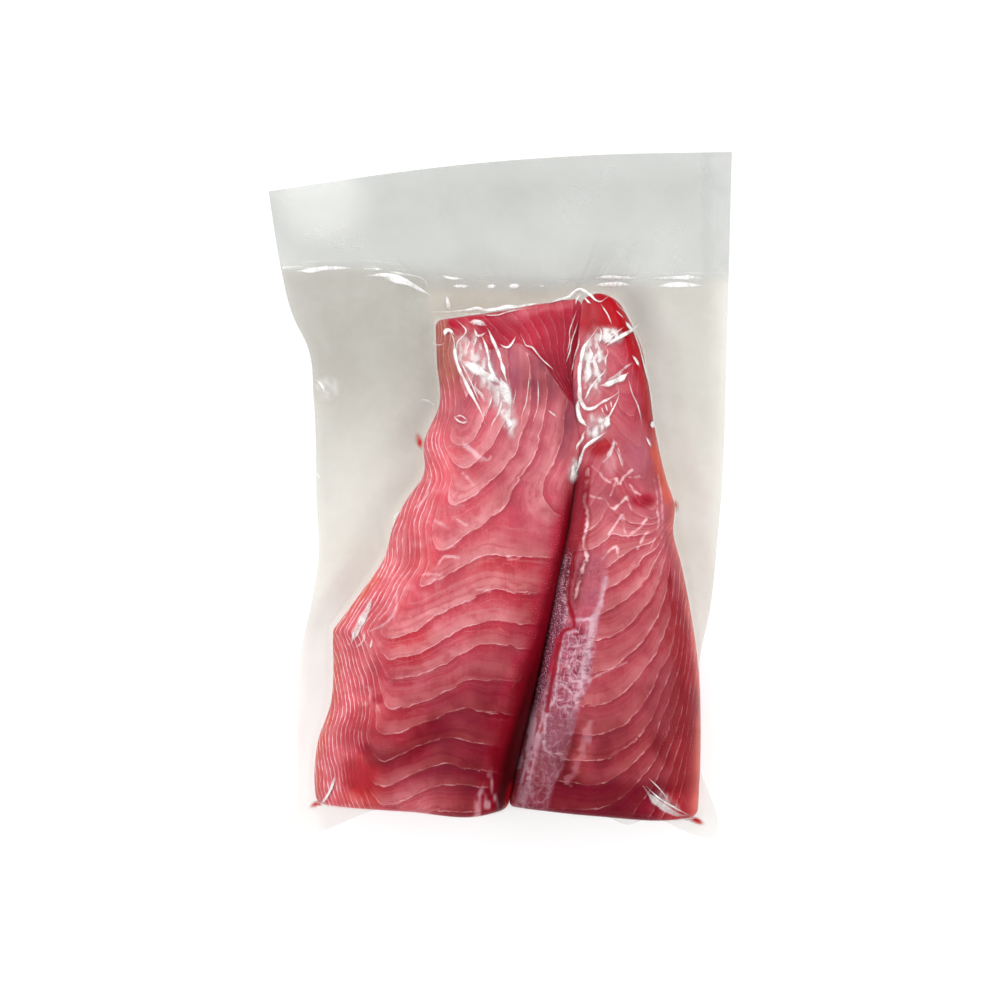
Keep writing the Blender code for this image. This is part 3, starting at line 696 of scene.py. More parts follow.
def bridged_top(flake_step):
    """A height map of the fish in which a ball can't fall into the grooves, and its first corner."""
    low, high = np.array(MAP_CORNERS)
    y, x = np.meshgrid(np.arange(low[1], high[1], MAP_STEP), np.arange(low[0], high[0], MAP_STEP),
                       indexing="ij")
    bare = np.maximum(WIDE.top(x, y, flake_step, FILM_GROW), NARROW.top(x, y, flake_step, FILM_GROW))
    inside = (x > wide_left(y)) & (x < narrow_right(y)) & (y > both_foot(x)) & (y < both_head(x))
    bare = np.where(inside, bare, -20.0)
    reach = int(BRIDGE_BALL / MAP_STEP)
    for sign, pick in ((1, np.maximum), (-1, np.minimum)):
        edge = -40.0 if sign > 0 else 90.0
        wide = np.pad(bare, reach, constant_values=edge)
        result = np.full(bare.shape, edge)
        for i in range(-reach, reach + 1):
            for j in range(-reach, reach + 1):
                left = BRIDGE_BALL**2 - (i * i + j * j) * MAP_STEP**2
                if left < 0:
                    continue
                part = wide[reach + i:reach + i + bare.shape[0], reach + j:reach + j + bare.shape[1]]
                result = pick(result, part + sign * math.sqrt(left))
        bare = result
    for axis in (0, 1, 0, 1):
        bare = (np.roll(bare, 1, axis) + 2 * bare + np.roll(bare, -1, axis)) / 4
    return bare, low


def sample(table, low, x, y):
    """The value of a height map at any place, between its points."""
    u, v = (x - low[0]) / MAP_STEP, (y - low[1]) / MAP_STEP
    i = np.clip(v.astype(int), 0, table.shape[0] - 2)
    j = np.clip(u.astype(int), 0, table.shape[1] - 2)
    g, f = np.clip(v - i, 0, 1), np.clip(u - j, 0, 1)
    return mix(mix(table[i, j], table[i, j + 1], f), mix(table[i + 1, j], table[i + 1, j + 1], f), g)


def film_cap(flake_step):
    """The film over the fish as a table of points, from its foot to its head."""
    margin = END_ROUND / (both_head(0.0) - both_foot(0.0))
    body = np.linspace(margin, TAIL_FROM, FILM_BODY_ROWS)
    tail = np.linspace(TAIL_FROM, 1 - margin, FILM_TAIL_ROWS + 1)[1:]
    sides = wide_left, narrow_right, both_foot, both_head
    inner = np.concatenate([body, tail])
    x, y, pull = plan_points(sides, margin, 8, FILM_COLUMNS + 1, 0.6, inner, FILM_GROW)
    middle = mix(wide_left(y), narrow_right(y), 0.5)
    half = np.where(x > middle, narrow_right(y), wide_left(y)) - middle
    x = mix(middle, x, 1 - pull * END_ROUND / np.abs(half))
    wide_z = mix(WIDE.waist(y), WIDE.crest(y) + FILM_GROW, WIDE.rise(x, y, FILM_GROW))
    narrow_z = mix(NARROW.waist(y), NARROW.crest(y) + FILM_GROW, NARROW.rise(x, y, FILM_GROW))
    table, low = bridged_top(flake_step)
    z = np.maximum(wide_z, narrow_z)
    z = z + over(sample(table, low, x, y) - z, 0.5) + FILM_GAP
    level = END_LEVEL * mix(WIDE.crest(y), NARROW.crest(y), ease(-5, 5, x - parting(y)))
    z = mix(level, z, 1 - pull * np.minimum(END_ROUND / level, END_MOST))
    return np.stack([x, y, z], axis=2)


def loop_round(table):
    """The points along the four sides of a table, in order, with the first one again at the end."""
    sides = [table[0, :-1], table[:-1, -1], table[-1, :0:-1], table[:0:-1, 0]]
    return np.concatenate(sides + [table[:1, 0]])


def pouch_loop(cap):
    """Where each point of the film's edge over the fish comes out on the outline of the pouch."""
    def share(values):
        return (values - values[0]) / (values[-1] - values[0])

    foot_x = mix(POUCH_FOOT[0][0], POUCH_FOOT[-1][0], share(cap[0, :, 0]))
    top_x = mix(POUCH_TOP[0][0], POUCH_TOP[-1][0], share(cap[-1, :, 0]))
    left_y = mix(POUCH_LEFT[0][0], POUCH_LEFT[-1][0], share(cap[:, 0, 1]))
    right_y = mix(POUCH_RIGHT[0][0], POUCH_RIGHT[-1][0], share(cap[:, -1, 1]))
    foot = np.stack([foot_x, pouch_foot(foot_x)], axis=1)
    top = np.stack([top_x, pouch_top(top_x)], axis=1)
    left = np.stack([pouch_left(left_y), left_y], axis=1)
    right = np.stack([pouch_right(right_y), right_y], axis=1)
    return np.concatenate([foot[:-1], right[:-1], top[:0:-1], left[:0:-1], foot[:1]])


def film_skirt(cap):
    """The film from the edge over the fish down to the table, out to its outline and back below."""
    edge = loop_round(cap)
    rim = pouch_loop(cap)
    run = rim - edge[:, :2]
    out = run / np.linalg.norm(run, axis=1)[:, None]
    beyond = outside_loin(rim[:, 0], rim[:, 1])
    reach = np.clip(0.35 * beyond, 0.0, WALL_REACH)
    foot = edge[:, :2] + out * np.where(beyond > 0, reach, 0.0)[:, None]
    foot_z = mix(WALL_FOOT, sheet_height(foot[:, 0], foot[:, 1]) + 2 * PLY_GAP, ease(0.0, 3.0, beyond))
    rings = []
    around = np.arange(len(edge)) * 0.55
    pleat = lumps(around, around * 0, 3.2, 51)
    pleat[-1] = pleat[0]
    for step in range(1, WALL_RINGS + 1):
        turn = step / WALL_RINGS * math.pi / 2
        plan = mix(edge[:, :2], foot, 1 - math.cos(turn))
        plan = plan + out * (PLEAT * pleat * math.sin(2 * turn) * ease(1.0, 3.0, beyond))[:, None]
        rings.append(np.column_stack([plan, mix(edge[:, 2], foot_z, math.sin(turn))]))
    foot_rise = foot_z - sheet_height(foot[:, 0], foot[:, 1])
    for step in range(1, FLANGE_RINGS + 1):
        t = (step / FLANGE_RINGS) ** 1.15
        plan = mix(foot, rim, t)
        z = sheet_height(plan[:, 0], plan[:, 1]) + mix(foot_rise, PLY_GAP, 1 - (1 - t) ** 2.5)
        z = z + PLEAT * np.abs(pleat) * ease(0.0, 0.1, t) * ease(0.55, 0.1, t) * ease(2.0, 6.0, beyond)
        z = z + PLY_RISE * ease(0.0, 0.1, t) * ease(1.0, 0.9, t)
        rings.append(np.column_stack([plan, z]))
    centre = np.array(BACK_MIDDLE)
    inner = centre + BACK_SHARE * (edge[:, :2] - centre)
    for step in range(1, BACK_RINGS + 1):
        t = step / BACK_RINGS
        plan = mix(rim, inner, t)
        z = sheet_height(plan[:, 0], plan[:, 1]) + mix(PLY_GAP, 0.05, min(1.0, 3 * t))
        rings.append(np.column_stack([plan, z]))
    return np.stack([edge] + rings)


def crease_film(points):
    """Raises the pockets of the film, and gives how whitish they make it: milky haze with a painted glare.
    """
    x, y = points[..., 0], points[..., 1]
    white = np.zeros(x.shape)
    lift = np.zeros(x.shape)
    for centre_x, centre_y, half_x, half_y, turn, rise, strength in POCKETS:
        inside = blob(x, y, centre_x, centre_y, half_x, half_y, turn)
        lift += rise * inside * (0.8 + 0.5 * lumps(x, y, 4.0, 63))
        streak = 0.5 + 1.1 * lumps(x * 1.7, y * 0.7, 2.1, 64) + 0.5 * lumps(x, y, 1.4, 65)
        white = 1 - (1 - white) * (1 - strength * inside * np.clip(streak, 0.28, 1.15))
    raised = points.copy()
    raised[..., 2] += lift
    return raised, np.clip(white, 0, 0.95)


def fold_points(film, half, height, strength, *path):
    """One fold of the film: rings across a low ridge that lies on it, and how strongly its painted
    highlight shows on each.
    """
    line = flowing(path)
    run = np.concatenate([[0.0], np.cumsum(np.hypot(*np.diff(line, axis=0).T))])
    at = np.linspace(0, run[-1], max(8, int(run[-1] / 0.5)))
    line = np.stack([np.interp(at, run, line[:, k]) for k in (0, 1)], axis=1)
    slope = np.gradient(line, axis=0)
    normal = np.stack([-slope[:, 1], slope[:, 0]], axis=1) / np.hypot(*slope.T)[:, None]
    share = at / run[-1]
    taper = ease(0.0, 0.3, share) * ease(1.0, 0.7, share)
    uneven = 1 + 0.35 * lumps(line[:, 0], line[:, 1], 3.5, 61)
    across = [-1.0, -0.75, -0.5, -0.25, 0.0, 0.25, 0.5, 0.75, 1.0, 0.5, -0.5, -1.0]
    ridge = [(1 - u * u) ** 2 if n < 9 else -1.0 for n, u in enumerate(across[:-1])] + [0.0]
    reach = (half * 1.3 * (0.12 + 0.88 * taper) * uneven)[:, None] * np.array(across)
    plan = line[:, None] + normal[:, None] * reach[..., None]
    ground = np.zeros(reach.shape)
    for i, j in np.ndindex(ground.shape):
        for _ in range(2):
            x, y = plan[i, j] * (VIEW_HEIGHT - ground[i, j]) / (VIEW_HEIGHT - VIEW_PLANE)
            hit, place, _, _ = film.ray_cast((x * MM, y * MM, RAY_START), (0, 0, -1))
            if hit:
                ground[i, j] = place[2] / MM
            else:
                ground[i, j] = ground[i, max(j - 1, 0)]
    plan = plan * ((VIEW_HEIGHT - ground) / (VIEW_HEIGHT - VIEW_PLANE))[..., None]
    ridge = np.array(ridge)
    rise = 0.4 * height * taper[:, None] * uneven[:, None] * ridge
    lift = np.where(ridge < 0, -0.12, rise + 0.12 * np.abs(ridge) ** 0.25 - 0.06)
    shown = strength * (0.4 + 0.6 * taper[:, None]) * np.clip(ridge * 1.8, 0, 1)
    return np.dstack([plan, ground + lift]), np.clip(shown * uneven[:, None], 0, 1)


def near_fish(x, y):
    """1 on the film close round the fish, fading over a few millimetres."""
    return ease(5.0, 0.5, outside_loin(x, y) + 0.8 * lumps(x, y, 7, 71))


def tint_film(points, white, share_out, look):
    """Milkiness of one ply and its colour, with painted glare, painted shade and painted light in it."""
    x, y = points[..., 0], points[..., 1]
    header = ease(-4.0, 4.0, y - seal_line(x))
    side = np.minimum(x - pouch_left(y), pouch_right(y) - x)
    thin = ease(3.5, 0.5, side + lumps(x, y, 20, 72)) * (1 - header)
    # Towards the foot the film is painted paler and clearer: painted light that lifts the shadow of the
    # fish there.
    low = ease(-20, -100, y)
    clear = np.maximum(0.12 * thin, low)
    upper = np.maximum(ease(-30, 75, y) * ease(98, 87, x), 0.55 * header)
    upper = upper * (1 - 0.4 * ease(58, 72, x) * (1 - header))
    free = look.milk_free * (1 - 0.5 * clear) * (1 + 0.4 * upper) * (1 + 0.08 * lumps(x, y, 34, 73))
    # Painted glare on the curled corner of the header.
    corner_glare = header * blob(x, y, -78.0, 131.0, 26.0, 25.0)
    smudge = np.maximum(blob(x, y, 51.0, 107.0, 27.0, 7.0), blob(x, y, -10.0, 104.0, 16.0, 7.0))
    smudge = smudge * header
    dense = ease(15, 75, y) * ease(0, -55, x) * (1 - header)
    # The rising top of the header is painted darker: painted shade.
    rise = header * ease(0.3, 1.0, (y - seal_line(x)) / (pouch_top(x) - seal_line(x)))
    free = free * (1 - 0.2 * corner_glare) * (1 + 0.1 * dense + 0.1 * rise)
    milk = mix(look.milk_tight, free, share_out)
    coat = Coat(x, y, look.film_cream)
    coat.add(look.film_dull, upper)
    coat.add(look.film_pale, clear * 0.8)
    coat.add(look.film_grey, header)
    strip = header * ease(86.6, 87.2, x)
    coat.scale(1 - 0.12 * rise - 0.08 * strip + 0.3 * corner_glare - 0.07 * smudge)
    # Painted shade on the raised left edge of the film.
    coat.scale(1 - 0.12 * blob(x, y, -86.0, 8.0, 16.0, 34.0) * (1 - header))
    close = near_fish(x, y) * share_out
    coat.add(look.film_juice, close * 0.25)
    coat.add((0.9, 0.9, 0.9), 1 - share_out)
    # White of the pockets: milky haze with a painted glare.
    coat.add((0.92, 0.92, 0.91), white)
    milk = 1 - (1 - milk) * (1 - white)
    for centre_x, centre_y, half_x, half_y, turn, strength in JUICE:
        stain = blob(x, y, centre_x, centre_y, half_x, half_y, turn) * strength
        stain = stain * np.clip(0.85 + 0.5 * lumps(x, y, 2.2, 74), 0, 1)
        coat.add(look.blood, np.clip(stain * 1.4, 0, 1))
        milk = 1 - (1 - milk) * (1 - stain)
    return np.clip(milk, 0, 1), coat.tone


def seal_points():
    """The heat seal as a thin band with two ribs: rings across it, from one side to the other."""
    xs = np.linspace(SEAL_LINE[0][0] + 0.6, SEAL_LINE[-1][0] - 0.4, SEAL_COLUMNS)
    profile = [(0.0, 0.0), (0.25, 0.12), (0.55, 0.18), (0.85, 0.12), (1.2, 0.05), (1.7, 0.04),
               (2.3, 0.05), (2.6, 0.12), (2.9, 0.18), (3.2, 0.12), (3.5, 0.0),
               (2.6, -0.08), (1.7, -0.08), (0.8, -0.08)]
    rings = []
    for across, rise in profile + profile[:1]:
        y = seal_line(xs) + across + 0.12 * lumps(xs, xs * 0, 9, 81)
        uneven = 1 + 0.5 * lumps(xs, xs * 0 + across, 6, 82) * (rise > 0)
        z = sheet_height(xs, y) + SEAL_LEVEL + rise * uneven
        rings.append(np.column_stack([xs, y, z]))
    return np.stack(rings, axis=1)


def paint_cut(coat, look):
    """Paints the sloping cut face at the wide piece's tail, and gives where it is."""
    x, y = coat.x, coat.y
    left, right = x - wide_left(y), wide_right(y) - x
    above = y - wide_lip(x)
    cut = ease(-0.4, 0.4, above) * ease(4.0, 6.5, left)
    coat.add(look.cut_face, cut)
    coat.add(look.flesh, cut * blob(x, y, 6.0, 79.0, 10.0, 5.5, 0.1) * 0.7)
    crown = cut * ease(5.0, 2.0, wide_head(x) - y + lumps(x, y, 4, 114)) * ease(0, 12, x)
    coat.add(look.flesh_upper, crown * 0.4)
    # Painted shade on the cut face: darker towards the groove, and just past the lip, which shades it.
    coat.add(look.groove_red, cut * ease(16, 4, right + 0.3 * (y - 60)) * 0.8)
    coat.add(look.groove_red, cut * ease(4.0, 0.0, above) * 0.35)
    coat.add(look.groove_mid, cut * ease(5.5, 1.0, right) * ease(80, 70, y) * 0.6)
    return cut


def paint_groove_shade(coat, look, cut):
    """Paints shade on the wide piece towards the groove between the pieces, darkest in its pit, and gives
    how far that shade hides its flake lines.
    """
    x, y = coat.x, coat.y
    right = wide_right(y) - x
    reach = mix(0.6, 1.5, ease(10, -110, y)) * (1 + 0.12 * lumps(x, y, 9, 107))
    low = ease(-45, -100, y)
    near = right / reach
    force = mix(0.12, 1.0, ease(24, -10, y)) * (1 - 0.5 * cut)
    coat.add(look.groove_red, ease(13.0, 5.5, near) * force * 0.9)
    coat.add(look.groove_mid, ease(6.5 + 5.5 * low, 2.5 + 4 * low, near) * force)
    pit_shade = ease(2.4 + 3.6 * low, 0.6 + 2.2 * low, near) * force * mix(0.25, 1.0, low)
    coat.add(look.groove, pit_shade)
    return ease(12.0, 4.0, near) * force


def paint_wide(x, y, look):
    """Colour of the wide piece without its flake lines, and how strong those lines are."""
    coat = Coat(x, y, look.flesh)
    left, right = x - wide_left(y), wide_right(y) - x
    coat.add(look.flesh_upper, ease(-12, 30, y + 0.25 * x))
    coat.add(look.flesh_dusky, ease(10, 30, y) * ease(-8, 10, x) * 0.7)
    salmon = ease(-80, -50, y) * ease(40, 20, y) * ease(14, -14, x + 0.2 * y)
    coat.add(look.flank, salmon * 0.6)
    # Darker towards the foot and towards the groove: partly the flesh's own deeper red, partly painted
    # shade.
    down = y + 5 * lumps(x, y, 22, 101)
    spread = mix(38, 82, ease(-55, -106, down))
    foot_shade = ease(-26, -98, down) * ease(spread, 8, right + 4 * lumps(x, y, 12, 102))
    coat.add(look.flesh_deep, foot_shade)
    sole = ease(-113, -122, down) * ease(14, 42, right)
    coat.add(look.flank, sole * 0.4)
    join = left - wide_flank(y) + 3 * lumps(x, y, 10, 103)
    coat.add(look.flank, ease(9, -7, join))
    bare = blob(x, y, -49.0, -76.0, 17.0, 12.0, 0.3) + blob(x, y, -60.0, -98.0, 13.0, 14.0)
    corner = blob(x, y, -60.5, -117.0, 10.0, 13.0)
    coat.add(look.bare, np.clip(bare + 1.6 * corner, 0, 1) * 0.7)
    coat.spot(look.rim, 0.45, -60.0, -128.0, 13.0, 6.0)
    coat.spot(look.groove_red, 0.7, -57.5, -106.0, 5.5, 4.0, -0.5)
    coat.spot(look.groove_red, 0.35, 0.0, -50.0, 30.0, 18.0, 0.3)
    # Painted shade along that band.
    distance, along = near_path(x, y, HOLLOW_SHADE)
    hollow = ease(mix(5.0, 8.5, along), 1.5, distance + 1.5 * lumps(x, y, 5, 112)) * mix(0.5, 0.85, along)
    coat.add(look.flesh_deep, hollow)
    coat.add(look.flank_tan, ease(40, 58, y) * ease(14, 7, left) * 0.95)
    marks = np.exp(-((join / 4.5) ** 2)) * ease(-100, -60, y) * ease(50, 20, y)
    marks = marks * np.clip(lumps(x, y, 3.4, 110) + 0.5 * lumps(x, y, 1.4, 111), 0, 1)
    coat.add(look.flake_edge, marks * 0.3)
    rim = ease(5.0, 1.5, left + 1.2 * lumps(x, y, 7, 104)) * ease(-26, -36, y)
    coat.add(look.rim, rim * 0.85)
    coat.strands(WIDE_FRAYS, look.white_edge, 116)
    coat.spot(look.groove_red, 0.8, -52.0, -85.0, 3.5, 3.0)
    # Painted shade: a grey patch at the head of the groove, where the film bridges the gap.
    coat.spot(look.tissue_grey, 0.6, 29.5, 37.0, 5.5, 14.0)
    cut = paint_cut(coat, look)
    mauve = ease(36, 50, y) * (1 - cut) * ease(-16, -4, x)
    coat.add(look.tissue, mauve * (0.5 + 0.35 * lumps(x * 3.5, y * 0.5, 5, 106)))
    groove = paint_groove_shade(coat, look, cut)
    torn = np.abs(x + 4.5 - 0.12 * (y + 114)) / mix(1.0, 5.5, ease(-114, -131, y))
    torn = ease(1.1, 0.7, torn + 0.2 * lumps(x, y, 2.2, 115)) * ease(-112, -116, y)
    streak = np.clip(0.5 + 1.2 * lumps(x * 2.0, y * 0.8, 2.6, 113), 0, 1)
    coat.add(look.tissue_pale, torn * streak * 0.55)
    coat.add(look.vein, torn * (1 - streak) * 0.4)
    coat.add(look.blood, ease(3.0, 1.0, right) * ease(-119, -125, y) * 0.6)
    coat.shades(WIDE_SHADES)
    coat.scale(1 + 0.12 * lumps(x, y, 13, 108) + 0.10 * lumps(x, y, 4.5, 109))
    edge = (1 - 0.7 * cut) * (1 - groove) * (1 - 0.2 * ease(20, 50, y))
    bend = np.exp(-(((left - wide_flank(y)) / 4.5) ** 2)) * ease(45, 30, y)
    coat.tone = coat.tone * (1 - bend[..., None] * np.array([0.03, 0.1, 0.08]))
    edge = edge * (1 - 0.7 * bend) * (1 - 0.25 * foot_shade) * (1 - 0.35 * hollow) * (1 - 0.9 * corner)
    return coat.tone, edge


def tissue_place(x, y):
    """How far a point of the narrow piece lies from the groove, whether there is tissue at that y, and
    whether it is the smooth tissue near the foot."""
    return x - narrow_left(y), ease(-19, -27, y), ease(-84, -95, y)


def paint_tissue(coat, look):
    """Paints the tissue on the narrow piece, and gives where its band and its white edge are."""
    x, y = coat.x, coat.y
    left, whole, low = tissue_place(x, y)
    outer = tissue_edge(y) + 0.9 * lumps(x, y, 5, 205)
    share = left / (outer - narrow_left(y))
    band = ease(1.12, 0.96, share) * whole
    netted = ease(-50, -66, y + 3 * lumps(x, y, 8, 221))
    membrane = mix(np.array(look.membrane), np.array(look.tissue), netted[..., None])
    coat.add(membrane, band * (0.78 + 0.2 * lumps(x, y, 6, 206)))
    inner = ease(7.0, 5.0, left + lumps(x, y, 4, 208)) * ease(-50, -56, y) * ease(-80, -72, y)
    coat.add(look.groove_red, inner * band * 0.85)
    coat.add(look.flesh_deep, ease(-104, -119, y) * band * 0.7)
    white = ease(2.3, 0.5, np.abs(x - outer + 0.6) + 0.8 * lumps(x, y, 3, 209)) * whole
    white = white * mix(0.55, 0.4, ease(-94, -106, y))
    coat.add(look.tissue_pale, white * np.clip(0.55 + 0.9 * lumps(x, y, 4, 210), 0, 1))
    chain = low * ease(8.5, 6.5, left + 0.8 * lumps(x, y, 4, 208))
    coat.add(look.tissue_pale, chain * 0.65)
    streak = lumps(left * 2.4, y * 0.35, 2.6, 227) + 0.5 * lumps(x, y, 1.4, 228)
    coat.add(look.vein, chain * ease(-0.2, 0.5, streak) * 0.8)
    smooth = low * ease(6.5, 8.5, left) * band
    coat.add(look.tissue_dull, smooth * 0.85)
    behind = left - (outer - narrow_left(y)) - 1.8
    coat.add(look.flesh_deep, np.exp(-((behind / 1.6) ** 2)) * ease(-92, -100, y) * 0.75)
    coat.add(look.flesh_deep, band * ease(-117, -124, y) * 0.5)
    coat.add(look.blood, ease(4.0, 1.5, left) * ease(-119, -125, y) * 0.6)
    _, specks = tissue_masks(x, y)
    coat.add(look.tissue_grey, specks * 0.75)
    coat.add(look.dusk, specks * ease(-40, -26, y) * 0.4)
    cell = np.zeros_like(x)
    for centre_x, centre_y, half_x, half_y in CELLS:
        cell = np.maximum(cell, blob(x, y, centre_x, centre_y, half_x, half_y, -0.15))
    coat.add(look.groove_red, cell * 0.5)
    coat.add(look.dusk, cell * 0.4)
    coat.strands(STRANDS, look.tissue_pale, 231)
    distance, _ = near_path(x, y, STRAND)
    strand = ease(2.2, 0.3, distance + 1.5 * lumps(x, y, 2.0, 222))
    coat.add(look.tissue_pale, strand * 0.45)
    distance, _ = near_path(x, y, VEIN)
    vein = ease(1.25, 0.45, distance + 0.5 * lumps(x, y, 2.5, 212))
    coat.add(look.vein, vein * 0.9)
    distance, _ = near_path(x, y, BEAD)
    coat.add(look.groove_mid, ease(2.4, 0.8, distance) * 0.5)
    bead = ease(1.0, 0.3, distance + 0.5 * lumps(x, y, 1.2, 213))
    coat.add(look.white_edge, bead * np.clip(0.8 + 0.9 * lumps(x, y, 1.8, 218), 0, 1))
    return band, white


def paint_narrow(x, y, look):
    """Colour of the narrow piece without its flake lines, and how strong those lines are."""
    coat = Coat(x, y, look.flesh_right)
    left, right = x - narrow_left(y), narrow_right(y) - x
    coat.add(look.flesh_dusky, ease(-40, -6, y) * ease(1.0, 7.0, right) * 0.85)
    wine = ease(22, 40, y) * ease(17, 8, right + 2 * lumps(x, y, 8, 223))
    coat.add(look.groove_red, wine * 0.6)
    warm = ease(-46, -34, y) * ease(-4, -14, y) * ease(4, 9, right)
    coat.add(look.flank, warm * 0.3)
    # Darker towards the foot: partly the flesh's own deeper red, partly painted shade.
    down = y + 3 * lumps(x, y, 12, 201)
    foot = 0.3 * ease(-50, -104, down) + 0.7 * ease(-113, -122, down + 0.1 * (x - 55)) * ease(5, 16, right)
    coat.add(look.flesh_deep, foot)
    dark = np.maximum(blob(x, y, 43.0, -109.0, 6.5, 11.0, -0.2), blob(x, y, 68.5, -106.0, 6.0, 11.0, 0.5))
    coat.add(look.flesh_deep, dark * 0.6)
    # Dark outer side of the narrow piece: partly its own colour, partly painted shade on the side turned
    # from the light.
    side = ease(20, 10, right + 2 * lumps(x, y, 12, 202)) * ease(-24, -50, y)
    coat.add(look.flank_right, side * 0.8)
    rim = ease(3.4, 1.0, right + 0.8 * lumps(x, y, 6, 203))
    coat.add(look.rim, rim * 0.6)
    coat.add(look.rim, ease(6.0, 2.0, right) * ease(-92, -112, y) * 0.5)
    # Painted shade: a grey patch at the head of the groove, where the film bridges the gap.
    coat.spot(look.tissue_grey, 0.5, 28.5, 41.0, 6.0, 14.0)
    reach = mix(6.0, 11.0, ease(50, 66, y)) + 1.2 * lumps(x, y, 6, 204)
    bloody = ease(reach, 0.45 * reach, right) * ease(22, 34, y)
    coat.add(look.blood, bloody * 0.9)
    cap = ease(66, 74, y + 0.15 * (x - 42))
    coat.add(look.blood, cap * (0.8 + 0.2 * lumps(x, y, 5, 219)))
    coat.spot(look.tissue, 0.5, 58.0, 17.0, 7.5, 12.0, 0.15)
    coat.spot(look.groove_red, 0.3, 52.0, 4.0, 10.0, 8.0)
    coat.spot(look.flake_edge, 0.35, 46.8, 15.5, 4.0, 7.0)
    coat.spot(look.blood, 0.8, 42.5, 22.0, 8.5, 5.5, 0.35)
    coat.spot(look.groove_red, 0.9, 60.5, -0.5, 8.0, 4.5, 0.15)
    coat.spot(look.groove_mid, 0.5, 62.5, -1.5, 4.5, 3.5, 0.15)
    glow = ease(6.0, 3.0, right + 0.8 * lumps(x, y, 4, 230)) * ease(-5, 1, y) * ease(26, 20, y)
    coat.add(look.rim, glow * 0.85)
    coat.strands(FRAYS, look.white_edge, 226)
    coat.spot(look.vein, 0.8, 72.0, -37.5, 1.6, 14.0, 0.05)
    band, white = paint_tissue(coat, look)
    # Painted shade where the narrow piece turns down into the groove, darkest in its pit.
    groove_shade = ease(8.0, 5.5, left + 0.6 * lumps(x, y, 5, 217)) * ease(20, 8, y) * ease(-27, -21, y)
    coat.add(look.groove_red, groove_shade * 0.6)
    coat.add(look.groove_mid, groove_shade * 0.6)
    pit_shade = ease(1.3, 0.3, left + 0.4 * lumps(x, y, 5, 214)) * mix(0.05, 1.0, ease(20, -10, y))
    pit_shade = pit_shade * (1 - 0.7 * ease(-84, -95, y)) * mix(0.4, 1.0, ease(-30, -60, y))
    coat.add(look.groove, pit_shade)
    coat.scale(1 - 0.2 * blob(x, y, 69.0, -86.0, 13.0, 22.0))
    coat.scale(1 - 0.15 * blob(x, y, 45.0, -102.0, 13.0, 14.0))
    coat.shades(NARROW_SHADES)
    coat.scale(1 + 0.10 * lumps(x, y, 12, 215) + 0.08 * lumps(x, y, 4.0, 216))
    edge = (1 - band) * (1 - pit_shade) * (1 - 0.8 * cap) * (1 - groove_shade) * (1 - 0.85 * white)
    edge = edge * (1 - 0.4 * ease(-1, 6, x - narrow_bend(y))) * (1 - 0.4 * foot)
    edge = edge * (1 - 0.8 * ease(-14, -2, y))
    edge = edge * (1 - 0.5 * ease(-85, -100, y) * ease(9, 4, right))
    return coat.tone, edge


def tissue_masks(x, y):
    """Where the narrow piece's tissue has cells, and where it is speckled."""
    left, whole, low = tissue_place(x, y)
    share = left / (tissue_edge(y) - narrow_left(y))
    distance, _ = near_path(x, y, VEIN)
    cells = ease(0.12, 0.32, share) * ease(1.1, 0.98, share) * whole * ease(0.6, 1.4, distance)
    cells = cells * mix(0.12, 1.0, ease(-50, -60, y + 3 * lumps(x, y, 8, 221)))
    cells = cells * (1 - 0.75 * low) * (1 - ease(7.0, 5.0, left) * ease(-80, -72, y))
    wider = 2.8 * ease(-32, -38, y) * ease(-60, -54, y)
    specks = ease(4.6, 3.2, left - wider + 0.8 * lumps(x, y, 4, 220)) * ease(0.2, 0.9, left) * whole
    return cells, specks * ease(0.6, 1.2, distance) * (1 - 0.8 * low)


class Wire:
    """A socket that gives a number, on which arithmetic adds Math nodes."""

    def __init__(self, paint, socket):
        self.paint, self.socket = paint, socket

    def math(self, operation, *others):
        inputs = dict(enumerate((self, *others)))
        return self.paint.node("Math", {"operation": operation}, inputs)

    def __add__(self, other):
        return self.math("ADD", other)

    def __sub__(self, other):
        return self.math("SUBTRACT", other)

    def __mul__(self, other):
        return self.math("MULTIPLY", other)

    def __truediv__(self, other):
        return self.math("DIVIDE", other)

    def __pow__(self, other):
        return self.math("POWER", other)

    def __radd__(self, other):
        return self + other

    def __rmul__(self, other):
        return self * other

    def __rsub__(self, other):
        return self * -1.0 + other

    def between(self, low, high, start=0.0, end=1.0):
        """Runs smoothly from start at low to end at high."""
        settings = {"interpolation_type": "SMOOTHSTEP", "clamp": True}
        inputs = {"Value": self, "From Min": low, "From Max": high, "To Min": start, "To Max": end}
        return self.paint.node("MapRange", settings, inputs)


